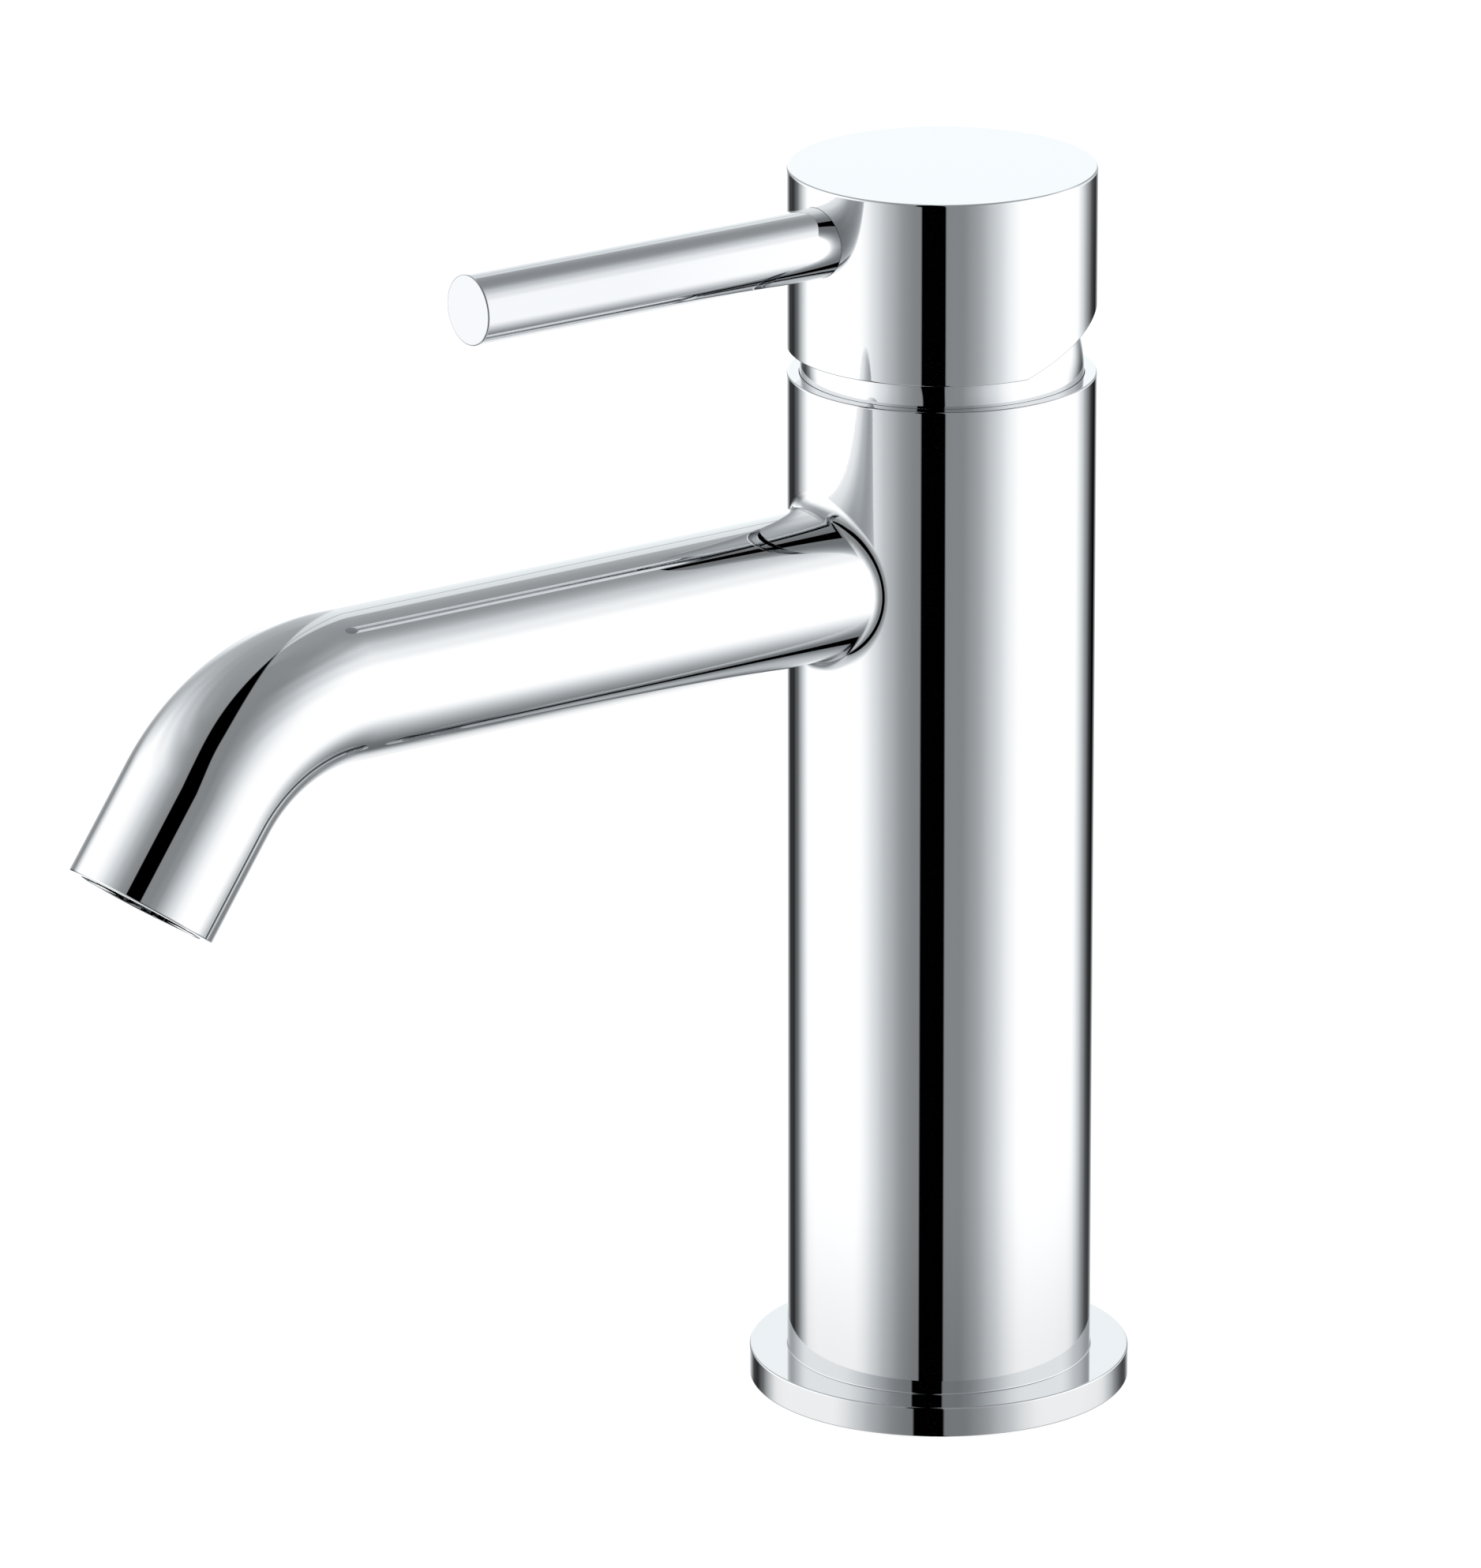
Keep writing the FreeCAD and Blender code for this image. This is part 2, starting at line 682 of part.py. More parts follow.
def cartridge_housing():
    """The cup that holds the discs and guides the turret."""
    return turned("cartridge_housing", [
        ("housing_in_r", "housing_low_z"),
        ("housing_r", "housing_low_z"),
        ("housing_r", "housing_step_z"),
        ("housing_neck_r", "housing_step_z"),
        ("housing_neck_r", "housing_top_z"),
        ("housing_hole_r", "housing_top_z"),
        ("housing_hole_r", "housing_roof_z"),
        ("housing_in_r", "housing_roof_z"),
    ])


def ported_disc(label, radius, low, height, growth):
    """A flat disc with the three ports."""
    body = new_body(label)
    pad_circles(body, [("0", "0", radius)], low, height)
    pad_circles(body, ports(growth), low, height, "Pocket")
    return body


def moving_ceramic_disc():
    """The sliding disc, with its mixing chamber below and two drive holes above."""
    body = new_body("moving_ceramic_disc")
    pad_circles(body, [("0", "0", "moving_disc_r")], "moving_disc_z", "moving_disc_t")
    reach = "sqrt(chamber_pocket_r ^ 2 - chamber_edge_y ^ 2)"
    corners = [(reach, "-chamber_edge_y"), (f"-{reach}", "-chamber_edge_y")]
    pad_outline(body, corners, "moving_disc_z", "chamber_depth", "Pocket", arcs={0: ("0", "0", 1)})
    holes = [(side + "lug_x", "-lug_y", "lug_r + lug_gap") for side in ("", "-")]
    top = "moving_disc_z + moving_disc_t"
    pad_circles(body, holes, top, "lug_len + lug_gap", "Pocket", upward=False)
    return body


def disc_carrier():
    """The block that the stem's ball pushes, with two lugs into the moving disc."""
    body = new_body("disc_carrier")
    block = box_corners("-carrier_half_x", "-carrier_half_y", "carrier_half_x", "carrier_half_y")
    pad_outline(body, block, "carrier_z", "carrier_top_z - carrier_z")
    pad_circles(body, [("0", "0", "ball_hole_r")], "carrier_z", "carrier_top_z - carrier_z", "Pocket")
    lugs = [(side + "lug_x", "-lug_y", "lug_r") for side in ("", "-")]
    pad_circles(body, lugs, "carrier_z", "lug_len", upward=False)
    return body


def spindle_turret():
    """The turning drum and neck: carrier guide, stem slot, pin seat and stop lug."""
    body = turned("spindle_turret", [
        ("0", "turret_z"),
        ("turret_r", "turret_z"),
        ("turret_r", "turret_step_z"),
        ("turret_neck_r", "turret_step_z"),
        ("turret_neck_r", "spindle_ring_z - groove_half"),
        ("spindle_groove_r", "spindle_ring_z - groove_half"),
        ("spindle_groove_r", "spindle_ring_z + groove_half"),
        ("turret_neck_r", "spindle_ring_z + groove_half"),
        ("turret_neck_r", "turret_top_z"),
        ("0", "turret_top_z"),
    ])
    guide = box_corners("-guide_half_x", "-guide_front_y", "guide_half_x", "guide_back_y")
    pad_outline(body, guide, "turret_z", "turret_roof_z - turret_z", "Pocket")
    slot = box_corners("-slot_half_x", "-slot_front_y", "slot_half_x", "slot_back_y")
    pad_outline(body, slot, "turret_z", "turret_top_z - turret_z", "Pocket")
    lug = box_corners("-stop_lug_half_x", "turret_neck_r - lug_root", "stop_lug_half_x", "stop_lug_y")
    pad_outline(body, lug, "stop_lug_z", "stop_lug_t")
    cross_hole(body, "pin_seat_r")
    return body


def cross_hole(body, radius):
    """Cut the pivot pin's hole along X, both ways from the middle."""
    sketch = sketch_on(body, "YZ_Plane")
    circle(sketch, "0", "rim_z", radius)
    shape_from(body, "Pocket", sketch, Length="2 * (turret_neck_r + cut_over)", Midplane=True)


def temperature_limiter():
    """The ring over the housing; the turret's lug runs in its window."""
    body = turned(
        "temperature_limiter",
        box_corners("limiter_in_r", "limiter_z", "limiter_r", "limiter_z + limiter_t"),
    )
    across = "sin(window_half_angle)"
    ahead = "cos(window_half_angle)"
    corners = [
        (f"window_in_r * {across}", f"window_in_r * {ahead}"),
        (f"window_r * {across}", f"window_r * {ahead}"),
        (f"-window_r * {across}", f"window_r * {ahead}"),
        (f"-window_in_r * {across}", f"window_in_r * {ahead}"),
    ]
    pad_outline(body, corners, "limiter_z", "limiter_t", "Pocket", arcs={1: ("0", "0", 1)})
    return body


# -------------------------------------------------------------------- handle

def stem_pin():
    """The pin that the stem tilts on."""
    body = new_body("stem_pin")
    sketch = sketch_on(body, "YZ_Plane")
    circle(sketch, "0", "rim_z", "pin_r")
    shape_from(body, "Pad", sketch, Length="2 * pin_half_len", Midplane=True)
    return body


def control_stem():
    """The square stem, with an arm and a ball below the pivot."""
    body = turned("control_stem", [
        ("0", "ball_z - ball_r"),
        ("arm_r", "ball_z + sqrt(ball_r ^ 2 - arm_r ^ 2)"),
        ("arm_r", "stem_low_z + ball_throat"),
        ("0", "stem_low_z + ball_throat"),
    ], {0: ("0", "ball_z", 1)})
    square = box_corners("-stem_half", "-stem_half", "stem_half", "stem_half")
    pad_outline(body, square, "stem_low_z", "stem_top_z - stem_low_z")
    cross_hole(body, "stem_pin_hole_r")
    return body


def handle_cap():
    """The cap: a plain cylinder, hollowed round the dome and cut away at the back."""
    rim_rise = "cap_z - rim_z"
    boss_z = "rim_z + sqrt(cap_cavity_r ^ 2 - cap_boss_r ^ 2)"
    body = turned("handle_cap", [
        (f"sqrt(cap_cavity_r ^ 2 - ({rim_rise}) ^ 2)", "cap_z"),
        ("cap_r", "cap_z"),
        ("cap_r", "cap_top_z - cap_edge"),
        ("cap_r - cap_edge", "cap_top_z"),
        ("0", "cap_top_z"),
        ("0", "cap_boss_z"),
        ("cap_boss_r", "cap_boss_z"),
        ("cap_boss_r", boss_z),
    ], {7: ("0", "rim_z", -1)})
    cut_cap_back(body)
    socket = box_corners("-stem_socket_half", "-stem_socket_half", "stem_socket_half", "stem_socket_half")
    pad_outline(body, socket, "cap_boss_z", "stem_socket_z - cap_boss_z", "Pocket")
    bore_along_y(body, "lever_z", "lever_stud_hole_r", "-lever_hole_y", "cap_r", -1)
    bore_along_y(body, "lever_z", "lever_socket_r", "-lever_root_y", "cap_r", -1)
    bore_along_y(body, "grub_z", "grub_hole_r", "0", "2 * cap_r")
    bore_along_y(body, "grub_z", "plug_hole_r", "plug_in_y", "cap_r")
    return body


def cut_cap_back(body):
    """Slope the cap's underside up towards the back, so that it can tilt."""
    sketch = sketch_on(body, "YZ_Plane")
    far_y = "2 * cap_r"
    corners = [
        ("-cap_cut_y", "cap_z"),
        ("-cap_cut_y", "cap_z - cut_over"),
        (far_y, "cap_z - cut_over"),
        (far_y, f"cap_z + ({far_y} + cap_cut_y) * tan(cap_cut_angle)"),
    ]
    outline(sketch, corners)
    shape_from(body, "Pocket", sketch, Length="4 * cap_r", Midplane=True)


def lever_rod():
    """The round lever with its threaded stud, turned about the lever's own axis."""
    body = new_body("lever_rod")
    sketch = sketch_on(body, "YZ_Plane")
    outline(sketch, [
        ("-lever_stud_y", "0"),
        ("-lever_stud_y", "lever_stud_r"),
        ("-lever_root_y", "lever_stud_r"),
        ("-lever_root_y", "lever_r"),
        ("-lever_end_y + lever_edge", "lever_r"),
        ("-lever_end_y", "lever_r - lever_edge"),
        ("-lever_end_y", "0"),
    ])
    shape_from(body, "Revolution", sketch, ReferenceAxis=(sketch, ["H_Axis"]), Angle="360")
    bind(body, "Placement.Base.z", "lever_z")
    return body


def grub_screw():
    """The screw that clamps the cap on the stem, with a six-sided key socket."""
    body = new_body("grub_screw")
    sketch = sketch_on(body, "XZ_Plane", "-grub_in_y")
    circle(sketch, "0", "0", "grub_r")
    shape_from(body, "Pad", sketch, Length="grub_out_y - grub_in_y", Reversed=True)
    key = sketch_on(body, "XZ_Plane", "-grub_out_y")
    corners = [(f"grub_key_r * cos({60 * i})", f"grub_key_r * sin({60 * i})") for i in range(6)]
    outline(key, corners)
    shape_from(body, "Pocket", key, Length="grub_key_depth", Reversed=True)
    bind(body, "Placement.Base.z", "grub_z")
    return body


def screw_plug():
    """The small plug over the grub screw's hole."""
    body = new_body("screw_plug")
    sketch = sketch_on(body, "XZ_Plane", "-plug_in_y")
    circle(sketch, "0", "0", "plug_r")
    shape_from(body, "Pad", sketch, Length="plug_out_y - plug_in_y", Reversed=True)
    bind(body, "Placement.Base.z", "grub_z")
    return body


# ------------------------------------------------------------------- aerator

def aerator_housing():
    """The threaded ring in the outlet, castellated at its rim for a key."""
    body = turned("aerator_housing", [
        ("aerator_lip_r", "aerator_low"),
        ("aerator_r", "aerator_low"),
        ("aerator_r", "aerator_top"),
        ("aerator_in_r", "aerator_top"),
        ("aerator_in_r", "aerator_lip_top"),
        ("aerator_lip_r", "aerator_lip_top"),
    ])
    low_angle = "key_slot_turn - key_slot_half_angle"
    high_angle = "key_slot_turn + key_slot_half_angle"
    radii_and_angles = [
        ("aerator_lip_r - cut_over", low_angle),
        ("aerator_r + cut_over", low_angle),
        ("aerator_r + cut_over", high_angle),
        ("aerator_lip_r - cut_over", high_angle),
    ]
    corners = [(f"({r}) * cos({angle})", f"({r}) * sin({angle})") for r, angle in radii_and_angles]
    slot = pad_outline(body, corners, "aerator_low", "key_slot_depth", "Pocket")
    repeat_around(body, slot, KEY_SLOTS, slot.Profile[0])
    seat_in_outlet(body)
    return body


def jet_plate(label, low, height, hole_radius):
    """A round plate with a centre hole and rings of 6, 12 and 18 holes."""
    body = new_body(label)
    pad_circles(body, [("0", "0", "insert_r")], low, height)
    pad_circles(body, [("0", "0", hole_radius)], low, height, "Pocket")
    for ring in range(1, JET_RINGS + 1):
        hole = [(f"{ring} * jet_pitch", "0", hole_radius)]
        first = pad_circles(body, hole, low, height, "Pocket")
        repeat_around(body, first, 6 * ring, first.Profile[0])
    seat_in_outlet(body)
    return body


def flow_regulator():
    """The round insert whose ring of holes the small O-ring narrows."""
    body = new_body("flow_regulator")
    pad_circles(body, [("0", "0", "insert_r")], "regulator_low", "regulator_t")
    hole = [("regulator_ring_r", "0", "regulator_hole_r")]
    first = pad_circles(body, hole, "regulator_low", "regulator_t", "Pocket")
    repeat_around(body, first, REGULATOR_HOLES, first.Profile[0])
    seat_in_outlet(body)
    return body


def aerator_seal():
    """The flat washer between the aerator and the spout's shoulder."""
    body = turned("aerator_seal", box_corners("washer_in_r", "aerator_top", "washer_out_r", "washer_top"))
    seat_in_outlet(body)
    return body


# ------------------------------------------------------------------ assembly

mixer_body()
spout()
waterway_core()
base_flange()
base_gasket()
nodes.append(o_ring("flange_o_ring", "flange_ring_r", "flange_ring_wire_r", "flange_ring_z"))
dome_cover()
nodes.append(o_ring("dome_o_ring", "dome_ring_r", "dome_ring_wire_r", "dome_ring_z"))
retaining_nut()
cartridge_base()
port_seals()
cartridge_housing()
ported_disc("disc_gasket", "disc_gasket_r", "base_spigot_z", "fixed_disc_z - base_spigot_z", "gasket_port_gap")
ported_disc("fixed_ceramic_disc", "fixed_disc_r", "fixed_disc_z", "fixed_disc_t", 0)
moving_ceramic_disc()
disc_carrier()
spindle_turret()
nodes.append(o_ring("spindle_o_ring", "spindle_ring_r", "spindle_ring_wire_r", "spindle_ring_z"))
temperature_limiter()
stem_pin()
control_stem()
handle_cap()
lever_rod()
grub_screw()
screw_plug()
aerator_housing()
jet_plate("aerator_diffuser", "diffuser_low", "diffuser_t", "jet_r")
flow_regulator()
regulator_o_ring = o_ring("regulator_o_ring", "regulator_seal_r", "regulator_seal_wire_r", "0")
nodes.append(regulator_o_ring)
seat_in_outlet(regulator_o_ring, "regulator_low + regulator_t + regulator_seal_wire_r")
jet_plate("aerator_screen", "screen_low", "screen_t", "screen_hole_r")
aerator_seal()

doc.recompute()
for item in doc.Objects:
    if "Invalid" in item.State or "Error" in item.State:
        raise RuntimeError(f"{item.Label} failed: {item.State}")
for node in nodes:
    if node.Shape.isNull() or not node.Shape.isValid():
        raise RuntimeError(f"{node.Label} has no valid shape")
for node in nodes:
    node.Shape.exportStep(f"parts/{node.Label}.step")
    box = node.Shape.BoundBox
    print(f"{node.Label:22s} {len(node.Shape.Solids)} solid {node.Shape.Volume:10.1f} mm3 "
          f"z {box.ZMin:7.2f} to {box.ZMax:7.2f}")
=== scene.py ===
"""A single-lever basin mixer: its chrome shells, its inner parts' finishes and its studio.

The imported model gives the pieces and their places. The big chrome pieces are drawn here
again as smooth surfaces with true normals, because a mirror shows every facet. All lengths
in the size classes are millimetres; meshes are in metres, in the row's frame: +Z runs up
the column, and the spout and the lever point to -Y.
"""
import json
import logging
import math
from dataclasses import dataclass, field
from enum import Enum
from typing import Callable, Sequence

import bpy
import numpy as np
from mathutils import Matrix, Vector
from mathutils.geometry import tessellate_polygon


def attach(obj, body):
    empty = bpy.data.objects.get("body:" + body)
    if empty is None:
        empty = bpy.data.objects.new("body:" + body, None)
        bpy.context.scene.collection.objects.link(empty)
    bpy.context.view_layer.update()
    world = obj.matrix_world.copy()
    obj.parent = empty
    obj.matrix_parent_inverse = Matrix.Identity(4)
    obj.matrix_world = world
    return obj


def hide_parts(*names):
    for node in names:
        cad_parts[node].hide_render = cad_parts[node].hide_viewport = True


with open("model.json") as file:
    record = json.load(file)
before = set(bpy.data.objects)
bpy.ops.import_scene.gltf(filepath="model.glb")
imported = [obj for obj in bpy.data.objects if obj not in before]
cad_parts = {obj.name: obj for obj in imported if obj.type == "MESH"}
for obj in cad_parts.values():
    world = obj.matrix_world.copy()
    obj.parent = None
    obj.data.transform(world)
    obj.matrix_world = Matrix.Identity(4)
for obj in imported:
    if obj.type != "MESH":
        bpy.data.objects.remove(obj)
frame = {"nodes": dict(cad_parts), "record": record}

log = logging.getLogger("basin_mixer")

MM = 0.001
WELD = 1.0e-7
TURN = 2.0 * math.pi
COLUMNS = 128
WINDOW_SPAN = 32
WINDOW_ANGLE = TURN * WINDOW_SPAN / COLUMNS / 2.0
WINDOW_SHAPE = 1.04
EYE_POWER = 2.2
UP = np.array([0.0, 0.0, 1.0])

Array = np.ndarray
Tree = bpy.types.NodeTree
Socket = bpy.types.NodeSocket
Node = bpy.types.Node


class Slot(Enum):
    """The record's material slots."""

    CHROME = "polished_chrome"
    BRASS = "brass"
    STEEL = "stainless_steel"
    CERAMIC = "ceramic"
    WHITE_PLASTIC = "white_plastic"
    GREY_PLASTIC = "grey_plastic"
    RED_PLASTIC = "red_plastic"
    RUBBER = "black_rubber"


# ------------------------------------------------------------------ surfaces

@dataclass
class Skin:
    """A closed surface gathered from grids and flat faces, welded when it is made.

    Each grid is a function of two parameters worked out as whole arrays. Every corner keeps
    the exact normal of its own grid, so smooth stretches stay smooth and edges stay sharp.
    """

    name: str
    corners: list[Array] = field(default_factory=list)
    normals: list[Array] = field(default_factory=list)

    def add_triangles(self, points: Array, normals: Array) -> None:
        """Take triangles and turn each so that its face points along its normals.

        Args:
            points: corner points, (count, 3, 3), in millimetres.
            normals: outward normals at the corners, (count, 3, 3).
        """
        edge_a = points[:, 1] - points[:, 0]
        edge_b = points[:, 2] - points[:, 0]
        facing = np.einsum("ij,ij->i", np.cross(edge_a, edge_b), normals.sum(axis=1))
        back = facing < 0.0
        points[back] = points[back][:, ::-1]
        normals[back] = normals[back][:, ::-1]
        self.corners.append(points)
        self.normals.append(normals)

    def add_grid(self, points: Array, normals: Array) -> None:
        """Add a grid of points (rows, columns, 3) as pairs of triangles.

        Args:
            points: the grid, in millimetres.
            normals: outward normals, broadcast to the grid's shape.
        """
        normals = np.broadcast_to(normals, points.shape)
        quads = []
        for values in (points, normals):
            a, b = values[:-1, :-1], values[:-1, 1:]
            c, d = values[1:, 1:], values[1:, :-1]
            quads.append(np.stack([np.stack([a, b, c], 2), np.stack([a, c, d], 2)], 2).reshape(-1,
                                                                                               3, 3))
        self.add_triangles(quads[0], quads[1])

    def add_flat(self, loops: Sequence[Array], normal: Sequence[float]) -> None:
        """Fill a flat face bounded by an outer loop and any hole loops.

        Args:
            loops: closed loops (count, 3), in millimetres, without a repeated end.
            normal: the face's outward normal.
        """
        chains = [[Vector(point) for point in loop] for loop in loops]
        triangles = np.array(tessellate_polygon(chains), dtype=int)
        points = np.concatenate(loops)[triangles]
        self.add_triangles(points, np.broadcast_to(np.array(normal, float), points.shape).copy())

    def make(self) -> bpy.types.Object:
        """Weld the corners and make the mesh object, at the origin and unturned.

        Returns:
            The new object, with smooth faces and the exact corner normals.
        """
        points = np.concatenate(self.corners) * MM
        normals = np.concatenate(self.normals)
        keys = np.floor(points.reshape(-1, 3) / WELD + 0.137).astype(np.int64)
        _, first, index = np.unique(keys, axis=0, return_index=True, return_inverse=True)
        faces = index.reshape(-1, 3)
        whole = (faces[:, 0] != faces[:, 1]) & (faces[:, 1] != faces[:, 2]) & (faces[:,
                                                                                     2] != faces[:, 0])
        faces, normals = faces[whole], normals[whole].reshape(-1, 3)
        mesh = bpy.data.meshes.new(self.name)
        mesh.vertices.add(len(first))
        mesh.vertices.foreach_set("co", points.reshape(-1, 3)[first].astype(np.float32).ravel())
        mesh.loops.add(faces.size)
        mesh.loops.foreach_set("vertex_index", faces.astype(np.int32).ravel())
        mesh.polygons.add(len(faces))
        mesh.polygons.foreach_set("loop_start", np.arange(0, faces.size, 3, dtype=np.int32))
        mesh.update(calc_edges=True)
        mesh.shade_smooth()
        lengths = np.linalg.norm(normals, axis=1, keepdims=True)
        mesh.normals_split_custom_set((normals / lengths).astype(np.float32))
        thing = bpy.data.objects.new(self.name, mesh)
        bpy.context.scene.collection.objects.link(thing)
        return thing


@dataclass(frozen=True)
class Run:
    """A smooth stretch of a turned profile: points (count, 2) as (radius, height) and normals."""

    points: Array
    normals: Array

    def divided(self, heights: Array) -> "Run":
        """Return a straight run with a point at each of the given heights."""
        radius = np.interp(heights, *self._rising())
        points = np.stack([radius, heights], 1)
        return Run(points, np.broadcast_to(self.normals[0], points.shape))

    def _rising(self) -> tuple[Array, Array]:
        """Return the run's heights and radii in rising order."""
        order = np.argsort(self.points[:, 1])
        return self.points[order, 1], self.points[order, 0]


def line(start: Sequence[float], end: Sequence[float]) -> Run:
    """A straight run; its normal is on the right of its way."""
    ends = np.array([start, end], float)
    way = ends[1] - ends[0]
    way /= np.linalg.norm(way)
    return Run(ends, np.broadcast_to([way[1], -way[0]], ends.shape))


def arc(centre: Sequence[float], radius: float, low: float, high: float, side: int,
        count: int = 24) -> Run:
    """An arc run: centre + radius * (cos a, sin a), with the normal along side * (cos a, sin a).

    Args:
        centre: the arc's centre as (radius, height).
        radius: the arc's radius.
        low: the first angle, in radians.
        high: the last angle, in radians.
        side: +1 where the outside is away from the centre, -1 where it is towards it.
        count: the number of points.

    Returns:
        The run.
    """
    angle = np.linspace(low, high, count)
    away = np.stack([np.cos(angle), np.sin(angle)], 1)
    return Run(np.array(centre) + radius * away, side * away)


def rounded(corners: Sequence[tuple[float, float, float]], closed: bool = False,
            count: int = 6) -> list[Run]:
    """A profile of straight runs joined by round corners.

    Each round corner is the arc that touches both its runs: the centre lies a radius to the
    side of the turn from the first touching point, and the normal turns with the way.

    Args:
        corners: (radius, height, corner radius), with the solid on the left of the way.
        closed: whether the last corner joins the first.
        count: points along a round corner.

    Returns:
        The runs in order.
    """
    spots = np.array([corner[:2] for corner in corners], float)
    last = len(corners)
    legs = last if closed else last - 1
    ways = np.array([spots[(i + 1) % last] - spots[i] for i in range(legs)])
    ways /= np.linalg.norm(ways, axis=1, keepdims=True)
    starts, ends = spots.copy(), spots.copy()
    arcs: dict[int, Run] = {}
    for i, (_, _, radius) in enumerate(corners):
        if radius == 0.0 or (not closed and i in (0, last - 1)):
            continue
        before, after = ways[i - 1], ways[i % legs]
        bend = math.atan2(before[0] * after[1] - before[1] * after[0], float(before @ after))
        side = math.copysign(1.0, bend)
        reach = radius * math.tan(abs(bend) / 2.0)
        ends[i] = spots[i] - before * reach
        starts[i] = spots[i] + after * reach
        centre = ends[i] + side * radius * np.array([-before[1], before[0]])
        angle = np.linspace(0.0, bend, count)
        way = np.stack([before[0] * np.cos(angle) - before[1] * np.sin(angle),
                        before[0] * np.sin(angle) + before[1] * np.cos(angle)], 1)
        right = np.stack([way[:, 1], -way[:, 0]], 1)
        arcs[i] = Run(centre + side * radius * right, right)
    runs = []
    for i in range(legs):
        if i in arcs:
            runs.append(arcs[i])
        runs.append(line(starts[i], ends[(i + 1) % last]))
    return runs


@dataclass(frozen=True)
class Axis:
    """A turning axis: angle 0 points along `zero`, a quarter turn along `quarter`."""

    origin: tuple[float, float, float] = (0.0, 0.0, 0.0)
    zero: tuple[float, float, float] = (0.0, -1.0, 0.0)
    quarter: tuple[float, float, float] = (1.0, 0.0, 0.0)
    along: tuple[float, float, float] = (0.0, 0.0, 1.0)

    def spokes(self, angle: Array) -> Array:
        """Return the unit vectors from the axis at the given angles."""
        cos, sin = np.cos(angle)[..., None], np.sin(angle)[..., None]
        return cos * np.array(self.zero) + sin * np.array(self.quarter)

    def turned(self, run: Run, angle: Array) -> tuple[Array, Array]:
        """Turn a run about the axis: point = origin + radius * spoke + height * along.

        Args:
            run: the profile run.
            angle: the columns' angles.

        Returns:
            Points and normals, (rows, columns, 3).
        """
        spoke = self.spokes(angle)[None, :, :]
        along = np.array(self.along)
        points = np.array(self.origin) + run.points[:, :1, None] * spoke + run.points[:, 1:,
                                                                                      None] * along
        normals = run.normals[:, :1, None] * spoke + run.normals[:, 1:, None] * along
        return points, normals


UPRIGHT = Axis()
FULL_TURN = np.linspace(0.0, TURN, COLUMNS + 1)


def turn_all(skin: Skin, runs: Sequence[Run], axis: Axis = UPRIGHT,
             angle: Array = FULL_TURN) -> None:
    """Turn every run of a profile about an axis into the skin."""
    for run in runs:
        skin.add_grid(*axis.turned(run, angle))


def slerp(first: Array, second: Array, share: Array) -> Array:
    """Turn evenly from one unit vector to another: sin-weighted sums along the great circle."""
    angle = np.arccos(np.clip((first * second).sum(-1), -1.0, 1.0))[..., None]
    safe = np.maximum(np.sin(angle), 1.0e-9)
    return (np.sin((1.0 - share) * angle) * first + np.sin(share * angle) * second) / safe


@dataclass(frozen=True)
class Window:
    """A rectangle on an upright cylinder wall, round a pipe that meets the wall.

    The rectangle spans WINDOW_ANGLE each side of the pipe and keeps one shape on every
    radius, so that its border points lie at the same angles round the pipe on each wall.
    """

    radius: float
    height: float
    facing: float = 0.0
    half_angle: float = WINDOW_ANGLE
    span: int = WINDOW_SPAN

    @property
    def half_height(self) -> float:
        """Half the window's height."""
        return WINDOW_SHAPE * self.radius * self.half_angle

    @property
    def rows(self) -> Array:
        """The heights of the wall's rows beside the window."""
        return np.linspace(self.height - self.half_height, self.height + self.half_height,
                           self.span + 1)

    @property
    def border(self) -> Array:
        """The border as (angle, height) pairs, once round from the low left corner."""
        angle = np.linspace(-self.half_angle, self.half_angle, self.span + 1)
        rows = self.rows
        low = np.stack([angle, np.full_like(angle, rows[0])], 1)
        right = np.stack([np.full_like(rows, angle[-1]), rows], 1)
        top = np.stack([angle[::-1], np.full_like(angle, rows[-1])], 1)
        left = np.stack([np.full_like(rows, angle[0]), rows[::-1]], 1)
        return np.concatenate([low[:-1], right[:-1], top[:-1], left])

    @property
    def pipe_angles(self) -> Array:
        """The angle round the pipe of each border point, from its +X side towards +Z."""
        border = self.border
        return np.arctan2(border[:, 1] - self.height, border[:, 0] * self.radius)

    def fill(self, skin: Skin, hole: Array, side: int, rows: int = 14) -> None:
        """Fill the wall between the border and a hole by straight mixing in (angle, height).

        Args:
            skin: the surface to add to.
            hole: (angle, height) of the hole's edge at each border point.
            side: +1 where the wall faces away from the axis, -1 where it faces it.
            rows: the number of rows between hole and border.
        """
        share = np.linspace(0.0, 1.0, rows + 1)[:, None, None]
        mixed = (1.0 - share) * hole[None] + share * self.border[None]
        spoke = UPRIGHT.spokes(mixed[..., 0] + self.facing)
        points = self.radius * spoke + mixed[..., 1:] * UP
        skin.add_grid(points, side * spoke)

    def pipe_hole(self, pipe_radius: float) -> Array:
        """Where a level pipe along Y cuts the wall: angle = asin(x / radius)."""
        angles = self.pipe_angles
        return np.stack([np.arcsin(pipe_radius * np.cos(angles) / self.radius),
                         self.height + pipe_radius * np.sin(angles)], 1)


# ------------------------------------------------------------------ finishes

